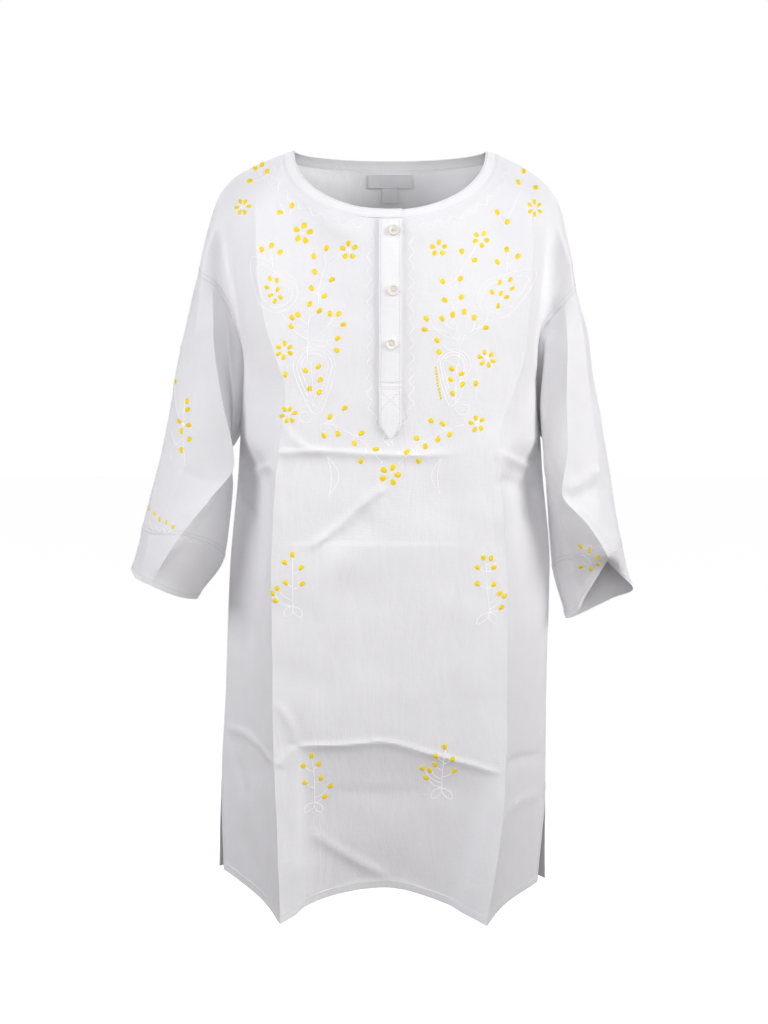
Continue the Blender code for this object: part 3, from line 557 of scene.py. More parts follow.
def shell(name, outer, normals, finish, thickness=CLOTH, ring=False, hole=None):
    """Closed cloth: the outer grid, the same points moved in by the thickness, and the rims between.

    ring joins the last column to the first; hole(row, column) tells which cells are cut away.
    """
    rows, columns = outer.shape[:2]
    points = np.concatenate([outer.reshape(-1, 3), (outer - thickness * normals).reshape(-1, 3)])
    inner = rows * columns
    cells = [
        (row * columns + column, row * columns + (column + 1) % columns)
        for row in range(rows - 1)
        for column in range(columns if ring else columns - 1)
        if hole is None or not hole(row, column)
    ]
    faces, edges = [], set()
    for a, b in cells:
        c, d = b + columns, a + columns
        faces += [(a, d, c, b), (inner + a, inner + b, inner + c, inner + d)]
        edges |= {(a, d), (d, c), (c, b), (b, a)}
    faces += [(b, a, inner + a, inner + b) for a, b in sorted(edges) if (b, a) not in edges]
    used = np.unique(np.concatenate([np.array(face) for face in faces]))
    place_of = np.zeros(len(points), int)
    place_of[used] = np.arange(len(used))
    made = add_object(name, points[used], [tuple(place_of[list(face)].tolist()) for face in faces], finish)
    made.data.set_sharp_from_angle(angle=SHARP_FOLD)
    return made


# Folds that packing and wear have left in the cloth, as (out, down) seen from the front or the back, right arm
# at negative out. A row is: height, width, the lengths over which it fades in and out, points. A ridge stands off
# the cloth and a trough, of negative height, goes in, over the width on its sharp side and twice that on its soft
# side. A bend leaves the cloth past its line lower by the height, easing back over the width.
LOWER_CREASE = ((-100, 621), (-68, 621), (-32, 619), (-12, 617), (45, 631), (83, 641), (119, 650))
FRONT_FOLDS = (
    (1.6, 2.6, 8, 30, (-119, 315), (-76, 313), (-12, 316), (45, 316), (64, 312)),
    (1.5, 3.0, 10, 12, (-112, 280), (-107, 290), (-95, 304), (-62, 314)),
    (2.2, 3.4, 12, 6, (-168, 352), (-141, 339), (-121, 326)),
    (-2.2, 6.0, 10, 12, (-168, 374), (-154, 384), (-141, 397)),
    (2.5, 3.4, 10, 10, (107, 313), (137, 329), (167, 348)),
    (-2.4, 5.0, 10, 10, (109, 341), (139, 355), (167, 369)),
    (2.8, 2.9, 16, 26, (-2, 347), (-29, 370), (-55, 394), (-92, 418)),
    (-2.4, 13.0, 20, 30, (-14, 374), (-38, 394), (-64, 417), (-96, 436)),
    (3.6, 11.0, 30, 60, (-55, 396), (-72, 460), (-80, 520), (-94, 622)),
    (-1.6, 18.0, 40, 60, (-36, 420), (-50, 490), (-60, 560), (-70, 612)),
    (2.0, 3.0, 14, 8, (-121, 570), (-111, 585), (-101, 601), (-100, 621)),
    (1.7, 2.7, 6, 16, *LOWER_CREASE),
    (2.0, 3.0, 4, 4, (-118, 643), (-109, 632), (-100, 621)),
    (1.5, 3.2, 10, 8, (-186, 632), (-157, 627), (-120, 640)),
    (-2.2, 4.5, 6, 12, (123, 641), (136, 648), (172, 662)),
    (2.2, 3.4, 6, 12, (117, 691), (144, 698), (171, 708)),
    (-0.7, 5.0, 20, 20, (-65, 675), (-10, 676), (40, 674)),
    (1.9, 2.8, 10, 24, (-82, 716), (-43, 748), (6, 778)),
    (-1.3, 7.0, 14, 24, (-88, 730), (-52, 758), (-14, 782)),
    (1.1, 4.0, 10, 12, (-112, 751), (-96, 753), (-76, 753)),
    (0.8, 3.0, 12, 24, (118, 28), (119, 60), (118, 96)),
    (0.7, 3.0, 16, 30, (-139, 64), (-140, 120), (-134, 168)),
    (-1.0, 10.0, 30, 50, (60, 330), (66, 420), (58, 520), (62, 600)),
    (1.2, 14.0, 40, 60, (84, 340), (92, 430), (84, 540), (88, 600)),
    (-0.8, 12.0, 30, 40, (20, 660), (34, 700), (28, 760)),
    (1.0, 16.0, 30, 30, (70, 660), (78, 710), (70, 770)),
    (-1.0, 14.0, 20, 40, (-146, 400), (-150, 480), (-148, 560)),
    (0.9, 14.0, 20, 40, (146, 400), (150, 480), (148, 560)),
    (1.1, 5.0, 30, 40, (-139, 430), (-137, 500), (-140, 590)),
    (-1.0, 5.0, 30, 30, (-160, 460), (-163, 530), (-166, 600)),
    (1.2, 5.0, 16, 20, (-141, 665), (-145, 720), (-142, 770)),
    (-1.2, 6.0, 16, 20, (-160, 655), (-163, 710), (-160, 765)),
    (1.0, 6.0, 30, 40, (141, 440), (139, 510), (142, 600)),
    (-1.2, 8.0, 12, 20, (-158, 206), (-140, 236), (-128, 280)),
    (-1.0, 8.0, 12, 20, (156, 230), (142, 262), (126, 300)),
)
FRONT_BENDS = (
    (2.4, 26.0, 10, 40, (-119, 316), (-76, 314), (-12, 317), (45, 317), (90, 314)),
    (8.5, 80.0, 14, 26, *LOWER_CREASE),
    (1.8, 34.0, 10, 8, (-186, 636), (-157, 631), (-120, 643)),
)
BACK_FOLDS = (
    (1.1, 4.0, 20, 30, (-166, 318), (-90, 312), (0, 316), (80, 313), (165, 320)),
    (1.0, 3.5, 30, 60, (1, 60), (3, 200), (0, 330), (2, 480)),
    (1.2, 4.0, 20, 20, (-186, 626), (-90, 620), (0, 625), (90, 618), (174, 632)),
    (2.4, 9.0, 24, 40, (40, 346), (68, 380), (104, 412)),
    (-2.0, 14.0, 30, 60, (-60, 340), (-70, 430), (-62, 560)),
    (1.8, 16.0, 30, 60, (-96, 350), (-104, 450), (-98, 590)),
    (1.8, 16.0, 30, 60, (78, 430), (86, 520), (80, 600)),
    (-1.8, 12.0, 20, 40, (-150, 196), (-118, 250), (-100, 300)),
    (-1.8, 12.0, 20, 40, (150, 210), (120, 258), (100, 306)),
    (1.4, 4.0, 12, 24, (96, 706), (58, 738), (10, 762)),
    (-1.4, 12.0, 20, 20, (-40, 650), (-52, 710), (-46, 780)),
)
BACK_BENDS = (
    (2.0, 40.0, 20, 30, (-166, 320), (-90, 314), (0, 318), (80, 315), (165, 322)),
    (3.0, 60.0, 20, 20, (-186, 628), (-90, 622), (0, 627), (90, 620), (174, 634)),
)
RIGHT_SLEEVE_FOLDS = (
    (1.6, 4.0, 8, 6, (-230, 212), (-206, 197), (-186, 177)),
    (1.5, 3.5, 4, 6, (-252, 329), (-238, 331), (-226, 333)),
    (-1.6, 4.0, 4, 6, (-226, 333), (-215, 342), (-196, 349)),
    (1.8, 5.0, 8, 8, (-223, 387), (-204, 378), (-188, 367)),
    (-1.4, 6.0, 14, 16, (-232, 250), (-238, 300), (-244, 350)),
    (1.2, 5.0, 10, 14, (-222, 236), (-228, 290), (-232, 330)),
    (-1.8, 5.0, 10, 4, (-262, 400), (-268, 428), (-273, 460)),
    (1.5, 4.0, 10, 4, (-255, 402), (-260, 430), (-264, 462)),
    (-1.2, 5.0, 10, 4, (-248, 406), (-251, 432), (-254, 466)),
    (-1.3, 9.0, 16, 16, (-206, 230), (-210, 290), (-208, 340)),
    (1.4, 5.0, 10, 10, (-222, 426), (-214, 452), (-212, 480)),
    (1.7, 2.6, 12, 8, (-172, 349), (-187, 367), (-204, 390), (-221, 413), (-240, 434), (-258, 454)),
)
LEFT_SLEEVE_FOLDS = (
    (2.6, 3.4, 6, 6, (184, 359), (204, 349), (224, 335)),
    (-2.6, 4.6, 6, 6, (188, 372), (208, 364), (228, 353)),
    (1.3, 5.0, 20, 10, (225, 267), (226, 309), (229, 350)),
    (-1.4, 7.0, 20, 20, (214, 220), (216, 280), (212, 330)),
    (-1.2, 9.0, 20, 20, (196, 250), (194, 300), (190, 350)),
    (1.4, 5.0, 10, 10, (204, 380), (216, 400), (232, 418)),
    (-1.4, 5.0, 8, 8, (196, 452), (206, 470), (214, 490)),
    (1.2, 6.0, 8, 14, (168, 196), (186, 214), (206, 226)),
    (1.7, 2.6, 16, 8, (166, 316), (168, 330), (179, 359), (196, 379), (214, 400), (238, 428)),
    (0.6, 3.0, 10, 10, (170, 316), (180, 336), (193, 350), (207, 365), (222, 384)),
)
SLEEVE_BACK_FOLDS = (
    (-1.8, 10.0, 14, 20, (176, 300), (200, 322), (226, 330)),
    (1.6, 9.0, 14, 20, (180, 340), (204, 356), (236, 360)),
    (-1.6, 9.0, 14, 20, (190, 372), (214, 388), (244, 386)),
    (1.2, 4.0, 10, 20, (214, 170), (222, 250), (238, 350)),
)


# How many widths a fold reaches from its line, and the waves all over: size, height in millimetres, seed.
FOLD_REACH, FOLD_DIVISIONS = 3.5, 10
WAVE_COUNT, WAVE_SIZES, WAVE_WAYS = 6, (0.7, 1.6), (1.0, 0.4, 0.6)
PANEL_WAVES = ((90, 1.6, 5), (34, 0.5, 9))
SLEEVE_WAVES = ((90, 1.2, 5), (34, 0.2, 9))


def mirrored(folds):
    return tuple((*fold[:4], *((-out, down) for out, down in fold[4:])) for fold in folds)


def ease(value):
    """Rises smoothly from 0 to 1 as the value does."""
    value = np.clip(value, 0, 1)
    return value * value * (3 - 2 * value)


def fold_height(places, fold, bend=False):
    """Height that one fold adds at each place."""
    height, width, fade_in, fade_out, *points = fold
    route = along(points, [FOLD_DIVISIONS] * (len(points) - 1))
    steps = np.diff(route, axis=0)
    lengths = np.linalg.norm(steps, axis=1)
    starts = run_lengths(route)
    result = np.zeros(len(places))
    reach = FOLD_REACH * width
    near = ((places > route.min(0) - reach) & (places < route.max(0) + reach)).all(axis=1)
    if not near.any():
        return result
    offset = places[near][:, None] - route[None, :-1]
    share = np.clip((offset * steps).sum(-1) / lengths**2, 0, 1)
    gap = offset - share[..., None] * steps
    distance = np.linalg.norm(gap, axis=-1)
    best = distance.argmin(axis=1)
    row = np.arange(len(best))
    distance, share = distance[row, best], share[row, best]
    side = steps[best, 0] * gap[row, best, 1] - steps[best, 1] * gap[row, best, 0]
    travelled = starts[best] + share * lengths[best]
    fade = ease(travelled / fade_in) * ease((starts[-1] - travelled) / fade_out)
    if bend:
        past = np.where(side > 0, distance, 0) / width
        profile = -past * np.exp(1 - past)
    else:
        profile = np.exp(-((distance / np.where(side > 0, 2 * width, width)) ** 2))
    result[near] = height * fade * profile
    return result


def undulation(points, size, height, seed):
    """Slow uneven waves of about this size, the sum of a few plain waves in fixed directions."""
    draw = np.random.default_rng(seed)
    total = np.zeros(points.shape[:-1])
    for _ in range(WAVE_COUNT):
        direction = unit(draw.normal(size=3) * WAVE_WAYS)
        length = size * draw.uniform(*WAVE_SIZES)
        total += np.sin(points @ direction * 2 * math.pi / length + draw.uniform(0, 2 * math.pi))
    return height * total / WAVE_COUNT


def folded(grid, normals, sides, waves, calm):
    """The grid with its waves, and the folds and bends of each side on the cloth that faces that way.

    calm holds a weight for each point, 0 where a seam or edge keeps the cloth still.
    """
    places = np.stack([grid[..., 0], -grid[..., 2]], axis=-1).reshape(-1, 2)
    lift = sum(undulation(grid, *wave) for wave in waves)
    for facing, folds, bends in sides:
        toward = ease(facing * normals[..., 1] * 4 + 0.6)
        heights = [fold_height(places, fold) for fold in folds]
        heights += [fold_height(places, fold, bend=True) for fold in bends]
        lift = lift + sum(heights).reshape(lift.shape) * toward
    return grid + (lift * calm)[..., None] * normals


def from_edge(grid, axis, end):
    """Distance of each point from the first (end 0) or last (end -1) row or column, measured along the cloth."""
    line = np.moveaxis(grid, axis, 0)
    total = run_lengths(line[::-1] if end else line)
    return np.moveaxis(total[::-1] if end else total, 0, axis)


def turning(distance, width):
    """1 over a turned or felled edge of this width, falling to 0 in half a millimetre past it."""
    return ease((width - distance) / 0.5 + 0.5)


def felled(distance):
    """Rise of a felled seam, as a share of a turned edge's, at a distance from the seam."""
    return 0.6 * turning(distance, FELLED_WIDTH) * ease(distance)


def line_at(grid, normals, distance, value, axis, keep=slice(None)):
    """Points and normals where each row or column crosses a distance from its edge."""
    lines, ups, gaps = (np.moveaxis(each, axis, 0) for each in (grid, normals, distance))
    found = []
    for column in range(lines.shape[1])[keep]:
        order = np.argsort(gaps[:, column])
        there = gaps[order, column]
        found.append([read_at([value], there, each[order, column])[0] for each in (lines, ups)])
    found = np.array(found)
    return found[:, 0], unit(found[:, 1])


# Front and back: one piece each, joined at the shoulders and, down to the slits, at the sides.
front = panel_grid(
    -1,
    CENTRE_FRONT,
    [panel_rows(-1, -1, RIGHT_ARM_SIDE, SKIRT, 0), panel_rows(1, -1, LEFT_ARM_SIDE, SKIRT, 1)],
    FRONT_ACROSS,
    FRONT_DOWN,
)
back = panel_grid(
    1,
    CENTRE_BACK,
    [panel_rows(-1, 1, BACK_RIGHT_ARM_SIDE, BACK_SKIRT, 0), panel_rows(1, 1, BACK_LEFT_ARM_SIDE, BACK_SKIRT, 1)],
    BACK_ACROSS,
    BACK_DOWN,
)
front_depths = spaced(sorted(CENTRE_FRONT), FRONT_DOWN)
back_depths = spaced(sorted(CENTRE_BACK), BACK_DOWN)
ARM_DEPTH, SIDE_SLIT_DEPTH = 300, 694
front_arm_rows = int(np.searchsorted(front_depths, ARM_DEPTH))
back_arm_rows = int(np.searchsorted(back_depths, ARM_DEPTH))
slit_row = int(np.searchsorted(front_depths, SLIT_END))
front_normals = panel_normals(front, -1, FRONT_ACROSS, front_arm_rows)
back_normals = panel_normals(back, 1, BACK_ACROSS, back_arm_rows)
front[..., 1] -= SEWN_GAP / 2
back[..., 1] += SEWN_GAP / 2
middle_column = front.shape[1] // 2
sleeves = {}

# Sleeves and cuffs. The armhole ring takes its points from the panels' edges, and shares its mitres with them.
for side, name, rings in ((-1, "right", RIGHT_SLEEVE), (1, "left", LEFT_SLEEVE)):
    front_column, front_next = (0, 1) if side < 0 else (-1, -2)
    back_column, back_next = (-1, -2) if side < 0 else (0, 1)
    down_front = slice(0, front_arm_rows + 1)
    up_back = slice(back_arm_rows - 1, 0, -1)
    armhole, inside, panel_side = (
        np.concatenate([on_front[down_front, front_at], on_back[up_back, back_at]])
        for on_front, on_back, front_at, back_at in (
            (front, back, front_column, back_column),
            (front, back, front_next, back_next),
            (front_normals, back_normals, front_column, back_column),
        )
    )
    armhole[[0, front_arm_rows], 1] = 0
    grid, cuff_row = sleeve_grid(name, side, armhole, rings)
    inside[front_arm_rows] = front[front_arm_rows + 1, front_column]
    seam = unit(np.roll(armhole, -1, axis=0) - np.roll(armhole, 1, axis=0))
    inside = square_to(seam, inside - armhole)
    along_sleeve = square_to(seam, grid[1] - grid[0])
    if side > 0:
        grid = grid[:, ::-1]
    normals = normals_of(grid, ring=True)
    shared = unit(normals[cuff_row - 1] + normals[cuff_row])
    normals[cuff_row - 1] = normals[cuff_row] = shared
    sleeve_side = normals[0] if side < 0 else normals[0, ::-1]
    mitres = mitre(panel_side, sleeve_side, inside, along_sleeve)
    for seam_end in (0, front_arm_rows):
        mitres[seam_end] = level(mitres[seam_end])
    front_normals[down_front, front_column] = mitres[:front_arm_rows + 1]
    back_normals[up_back, back_column] = mitres[front_arm_rows + 1:]
    back_normals[0, back_column] = mitres[0]
    back_normals[back_arm_rows, back_column] = mitres[front_arm_rows]
    gap = SEWN_GAP * unit(along_sleeve - inside)
    normals[0], grid[0] = (mitres, grid[0] + gap) if side < 0 else (mitres[::-1], grid[0] + gap[::-1])
    sleeves[name] = (grid, normals, cuff_row)

# Folds, waves and turned edges go on. Cloth near a seam stays where the seam is. A turned edge is stitched just
# inside its fold, and a felled seam twice, at these distances from it.
SEAM_CALM, CUFF_CALM, BELOW_SLIT = 16.0, 12.0, 14.0
HEM_STITCH, SLIT_STITCH = 1.2, 1.0
ARMHOLE_STITCHES, CUFF_STITCHES = (1.6, 6.2), (1.5, 5.5)
stitch_lines = []


def finish_panel(grid, normals, side_folds, depths, arm_rows):
    """A panel with its folds, its felled seam at each arm and its turned hem and slit edges, all stitched."""
    side_gap = np.minimum(from_edge(grid, 1, 0), from_edge(grid, 1, -1))
    top_gap, hem_gap = from_edge(grid, 0, 0), from_edge(grid, 0, -1)
    open_side = ease((depths - SIDE_SLIT_DEPTH) / BELOW_SLIT)[:, None]
    calm = ease(top_gap / SEAM_CALM) * np.maximum(ease(side_gap / SEAM_CALM), 0.5 * open_side)
    made = folded(grid, normals, (side_folds,), PANEL_WAVES, calm)
    at_arm = (np.arange(len(depths)) < arm_rows)[:, None]
    beside_slit = turning(side_gap, SLIT_TURNING) * (depths > SIDE_SLIT_DEPTH)[:, None]
    rise = np.maximum(np.maximum(turning(hem_gap, HEM_TURNING), beside_slit), felled(side_gap) * at_arm)
    made = made + TURNING_RISE * rise[..., None] * normals
    stitch_lines.append(line_at(made, normals, hem_gap, HEM_TURNING - HEM_STITCH, 0, slice(4, -4)))
    below = int(np.searchsorted(depths, SIDE_SLIT_DEPTH))
    for end in (0, -1):
        gap = from_edge(grid, 1, end)
        stitch_lines.append(line_at(made, normals, gap, SLIT_TURNING - SLIT_STITCH, 1, slice(below, -4)))
        for away in ARMHOLE_STITCHES:
            stitch_lines.append(line_at(made, normals, gap, away, 1, slice(2, arm_rows - 2)))
    return made


def in_slit(row, column):
    return row < slit_row and column in (middle_column - 1, middle_column)


front = finish_panel(front, front_normals, (-1, FRONT_FOLDS, FRONT_BENDS), front_depths, front_arm_rows)
back = finish_panel(back, back_normals, (1, BACK_FOLDS, BACK_BENDS), back_depths, back_arm_rows)
front_cloth = shell("front_cloth", front, front_normals, cotton, hole=in_slit)
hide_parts("front_panel")
back_cloth = shell("back_cloth", back, back_normals, cotton)
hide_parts("back_panel")
cloth_pieces = [front_cloth, back_cloth]

for name, front_side_folds, back_side_folds in (
    ("right", RIGHT_SLEEVE_FOLDS, mirrored(SLEEVE_BACK_FOLDS)), ("left", LEFT_SLEEVE_FOLDS, SLEEVE_BACK_FOLDS),
):
    grid, normals, cuff_row = sleeves[name]
    top_gap, hem_gap = from_edge(grid, 0, 0), from_edge(grid, 0, -1)
    before_cuff = top_gap[cuff_row] - top_gap
    calm = ease(np.minimum(top_gap, np.abs(before_cuff)) / CUFF_CALM)
    made = folded(grid, normals, ((-1, front_side_folds, ()), (1, back_side_folds, ())), SLEEVE_WAVES, calm)
    rise = np.maximum(turning(hem_gap, CUFF_TURNING), felled(before_cuff))
    made += TURNING_RISE * rise[..., None] * normals
    for part, rows in (("sleeve", slice(0, cuff_row)), ("cuff", slice(cuff_row, None))):
        piece = shell(f"{name}_{part}_cloth", made[rows], normals[rows], cotton, ring=True)
        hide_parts(f"{name}_{part}")
        cloth_pieces.append(piece)
    stitch_lines.append(line_at(made, normals, hem_gap, CUFF_TURNING - HEM_STITCH, 0))
    stitch_lines += [line_at(made, normals, before_cuff, away, 0) for away in CUFF_STITCHES]


# Everything sewn on lies on the cloth that is met first from the front, at (out, down).
def tree_of(objects):
    points, faces = [], []
    for each in objects:
        start = len(points)
        points += [vertex.co.copy() for vertex in each.data.vertices]
        faces += [[start + index for index in face.vertices] for face in each.data.polygons]
    return BVHTree.FromPolygons(points, faces)


def met(tree, out, down, spread=1.2):
    """The point in millimetres and the outward normal of the cloth at (out, down), seen from the front.

    The normal is the mean of five rays, so that a stitch does not tip with one small facet.
    """
    hits = [
        tree.ray_cast(Vector(((out + aside) * MM, -0.5, (up - down) * MM)), Vector((0, 1, 0)))[:2]
        for aside, up in ((0, 0), (spread, 0), (-spread, 0), (0, spread), (0, -spread))
    ]
    if hits[0][0] is None:
        return None, None
    normals = [np.array(normal) * (-1 if normal.y > 0 else 1) for _, normal in hits if normal is not None]
    return np.array(hits[0][0]) / MM, unit(np.sum(normals, axis=0))


front_tree = tree_of([front_cloth])
cloth_tree = tree_of(cloth_pieces)


# Neck band: one strip that starts on the upper placket, goes round the neck and ends under its own start.
BAND_THICKNESS, BAND_SWELL, BAND_PUCKER, BAND_PUCKERS = 1.2, 0.35, 0.12, 46
upper_end = math.asin(BAND_OVERLAP / NECK_HALF_WIDTH)
under_end = -math.asin(BAND_UNDERLAP / NECK_HALF_WIDTH)
quarter = neck_turns(1, -1)
half = np.concatenate([quarter, math.pi - quarter[-2::-1]])
turns = np.concatenate([[under_end - 2 * math.pi], -2 * math.pi + half, -half[-2::-1], [upper_end]])
insets = np.linspace(0, BAND_WIDTH, 9)
band = neck_point(turns[None, :], insets[:, None])
lift = LAYER * np.clip((turns - under_end) / BAND_RISE + 1.1, 0, 1)
band_normals = normals_of(band)
band_normals[-1] = neck_normal(turns)
band += lift[:, None] * band_normals
bulge = np.sin(math.pi * insets / BAND_WIDTH)[:, None]
swell = BAND_SWELL * bulge + BAND_PUCKER * np.sin(turns * BAND_PUCKERS + insets[:, None] * 0.2) * bulge
band += swell[..., None] * band_normals
band_cloth = shell("neck_band_cloth", band, band_normals, facing_cotton, thickness=BAND_THICKNESS)
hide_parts("neck_band")
for inset_row, depth in ((1, 0), (7, 0), (7, BAND_THICKNESS)):
    ups = band_normals[inset_row]
    stitch_lines.append((band[inset_row] - depth * ups, -ups if depth else ups))


# Placket: an under strip and a pointed upper strip, one on the other over the front slit. Small tucks cross it.
PLACKET_THICKNESS, PLACKET_PUFF = 1.1, 0.3
SLIT_REACH = 4.2  # how far from the middle the strips bridge the slit
TUCKS, TUCK_HALF = ((96.0, 0.25), (152.0, 0.3), (208.0, 0.3), (244.0, 0.5), (249.0, 0.5)), 1.4  # (down, depth)
CROSS_STITCHES = (
    ((-10, 243), (10, 243)), ((-10, 250), (10, 250)), ((-10, 252), (10, 270)), ((10, 252), (-10, 270)),
)


def placket_strip(first, last, half_width, lift, tip_start=None):
    """A strip of the placket on the front, narrowing to a blunt point from tip_start on, as grids of points."""
    downs = np.linspace(first, last, round((last - first) / PLACKET_STEP) + 1)
    share = np.zeros(len(downs)) if tip_start is None else np.clip((downs - tip_start) / (last - tip_start), 0, 1)
    widths = half_width * (1 - TIP_TAPER * share**1.5)
    across = np.linspace(-1, 1, 13)
    points, normals = [], []
    for down, width in zip(downs, widths):
        beside = [met(front_tree, edge, down) for edge in (-SLIT_REACH, SLIT_REACH)]
        for part in across:
            if abs(part * width) < 4:
                mix = (part * width + SLIT_REACH) / (2 * SLIT_REACH)
                hit = beside[0][0] * (1 - mix) + beside[1][0] * mix
                normal = unit(beside[0][1] * (1 - mix) + beside[1][1] * mix)
            else:
                hit, normal = met(front_tree, part * width, down)
            points.append(hit + (lift + PLACKET_PUFF * (1 - part**4)) * normal)
            normals.append(normal)
    shape = (len(downs), len(across), 3)
    return np.array(points).reshape(shape), np.array(normals).reshape(shape)


placket_top = NECK_FRONT_DROP + BAND_FRONT_STEP[1] + 4 * SEAM_GAP
under, under_normals = placket_strip(placket_top, SLIT_END + 4, PLACKET_WIDTH / 2 - 1, LAYER + SEAM_GAP)
upper, upper_normals = placket_strip(
    placket_top, PLACKET_TIP, PLACKET_WIDTH / 2, 2 * LAYER + SEAM_GAP, PLACKET_SHOULDER
)
for tuck, depth in TUCKS:
    dip = np.exp(-(((-upper[..., 2] - tuck) / TUCK_HALF) ** 2))
    upper -= depth * dip[..., None] * upper_normals
placket_under_cloth = shell(
    "placket_under_cloth", under, under_normals, facing_cotton, thickness=PLACKET_THICKNESS
)
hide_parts("placket_under")
placket_upper_cloth = shell(
    "placket_upper_cloth", upper, upper_normals, facing_cotton, thickness=PLACKET_THICKNESS
)
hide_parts("placket_upper")
stitch_lines.append(tuple(
    np.concatenate([grid[1:-2, 1], grid[-3, 1:-1], grid[-3:0:-1, -2]]) for grid in (upper, upper_normals)
))
placket_tree = tree_of([placket_upper_cloth])
for ends in CROSS_STITCHES:
    start, end = np.array(ends)
    places = [met(placket_tree, *(start + share * (end - start))) for share in np.linspace(0, 1, 9)]
    stitch_lines.append(tuple(np.array(each) for each in zip(*places)))


# Stitching: short beads of thread along every stitch line, each with a point at both ends and on four sides.
STITCH_LENGTH, STITCH_PITCH, STITCH_WIDTH, STITCH_RISE, STITCH_LIFT = 2.1, 2.7, 0.7, 0.3, 0.05
STITCH_FACES = ((5, 1, 0), (5, 2, 1), (5, 3, 2), (5, 0, 3), (4, 0, 1), (4, 1, 2), (4, 2, 3), (4, 3, 0))
points, faces = [], []
for line, ups in stitch_lines:
    lengths = run_lengths(line)
    at = np.arange(STITCH_PITCH / 2, lengths[-1], STITCH_PITCH)
    if len(at) < 2:
        continue
    centres, normals = read_at(at, lengths, line), unit(read_at(at, lengths, ups))
    runs = unit(np.gradient(centres, axis=0))
    sides = unit(np.cross(normals, runs))
    for centre, run, sideways, up in zip(centres, runs, sides, normals):
        start = len(points)
        ahead, aside = run * STITCH_LENGTH / 2, sideways * STITCH_WIDTH / 2
        corners = (-ahead, aside, ahead, -aside, up * STITCH_RISE, -up * STITCH_RISE)
        points += [centre + STITCH_LIFT * up + corner for corner in corners]
        faces += [tuple(start + corner for corner in face) for face in STITCH_FACES]
stitching = add_object("stitching", points, faces, seam_shade_thread)


# Hand embroidery: white chain-stitch stems and outlines, and yellow satin-stitch petals.
PETAL_LENGTH, PETAL_WIDTH, PETAL_RISE, PETAL_SINK = 7.2, 5.4, 0.9, 0.15
DOT_SIZE = (6.2, 4.4)
PETAL_FLATNESS, DOME_FLATNESS = 2.4, 2.6  # the higher, the squarer its ends
STEM_WIDTH, STEM_STEP, STEM_RISE = 0.95, 0.7, 0.62
LINK_LENGTH, LINK_WAIST = 2.8, 0.62
BOUQUET_STEM, EYE_STEM, EYE_RADIUS = 1.3, 0.8, 1.4
BRANCH_WIDTH, BRANCH_LEAD, BRANCH_BEND, SHORTEST_BRANCH, PETAL_FOOT = 0.85, 0.8, 0.11, 3.5, 2.4
STEM_PROFILE = ((-1.0, -0.1), (-0.7, 0.5), (0.0, 0.72), (0.7, 0.5), (1.0, -0.1))
petals, stems = ([], [], []), ([], [], [])


def laid(direction, normal, most=1.7):
    """A direction seen from the front, laid back onto the cloth and no more than so much longer for it."""
    on_cloth = direction - np.array([0, 1, 0]) * (direction @ normal) / min(normal[1], -0.2)
    return on_cloth / max(1, np.linalg.norm(on_cloth) / most)


def squares(start, rows, columns):
    """The corners of each cell of a grid of points that begins at start."""
    for row in range(rows - 1):
        for column in range(columns - 1):
            a = start + row * columns + column
            yield a, a + 1, a + 1 + columns, a + columns


def petal(out, down, angle, length=PETAL_LENGTH, width=PETAL_WIDTH):
    """A satin-stitched petal centred at (out, down): a small domed pad, rounder at its outer end.

    angle is that of its outer end, in degrees, 0 towards +out and 90 upward.
    """
    points, faces, uvs = petals
    centre, normal = met(cloth_tree, out, down)
    if centre is None:
        return
    cosine, sine = math.cos(math.radians(angle)), math.sin(math.radians(angle))
    way, sideways = (laid(np.array(each), normal) for each in ((cosine, 0, sine), (sine, 0, -cosine)))
    shares, across = np.linspace(0, 1, 9), np.linspace(-1, 1, 7)
    faces += squares(len(points), len(shares), len(across))
    for share in shares:
        from_middle = abs(2 * share - 1)
        half = width / 2 * math.sqrt(max(1 - from_middle**PETAL_FLATNESS, 0)) * (0.82 + 0.3 * share)
        for part in across:
            flat = centre + (share - 0.5) * length * way + part * half * sideways
            dome = math.sqrt(max(1 - from_middle**DOME_FLATNESS, 0)) * (1 - part**2) ** 0.6
            hit = cloth_tree.ray_cast(Vector((flat + 4 * normal) * MM), Vector(-normal), 8 * MM)[0]
            base = flat if hit is None else np.array(hit) / MM
            points.append(base + (PETAL_RISE * dome - PETAL_SINK) * normal)
            uvs.append((part * half / 2, (share - 0.5) * length))


def stem(route, width=STEM_WIDTH):
    """A line of chain stitch along a smooth curve through (out, down) points, where there is cloth under it."""
    points, faces, uvs = stems
    smooth = along(route, [4] * (len(route) - 1))
    lengths = run_lengths(smooth)
    at = np.linspace(0, lengths[-1], max(3, round(lengths[-1] / STEM_STEP)))
    found = [(*met(cloth_tree, *place), length) for place, length in zip(read_at(at, lengths, smooth), at)]
    found = [each for each in found if each[0] is not None]
    if len(found) < 3:
        return
    line, ups, at = (np.array(each) for each in zip(*found))
    sides = unit(np.cross(ups, unit(np.gradient(line, axis=0))))
    link = width * (LINK_WAIST + (1 - LINK_WAIST) * np.abs(np.sin(math.pi * at / LINK_LENGTH)))
    faces += [(a, d, c, b) for a, b, c, d in squares(len(points), len(line), len(STEM_PROFILE))]
    for centre, side, up, size, length in zip(line, sides, ups, link, at):
        for sideways, rise in STEM_PROFILE:
            points.append(centre + size / 2 * sideways * side + STEM_RISE * size * rise * up)
            uvs.append((sideways, length))


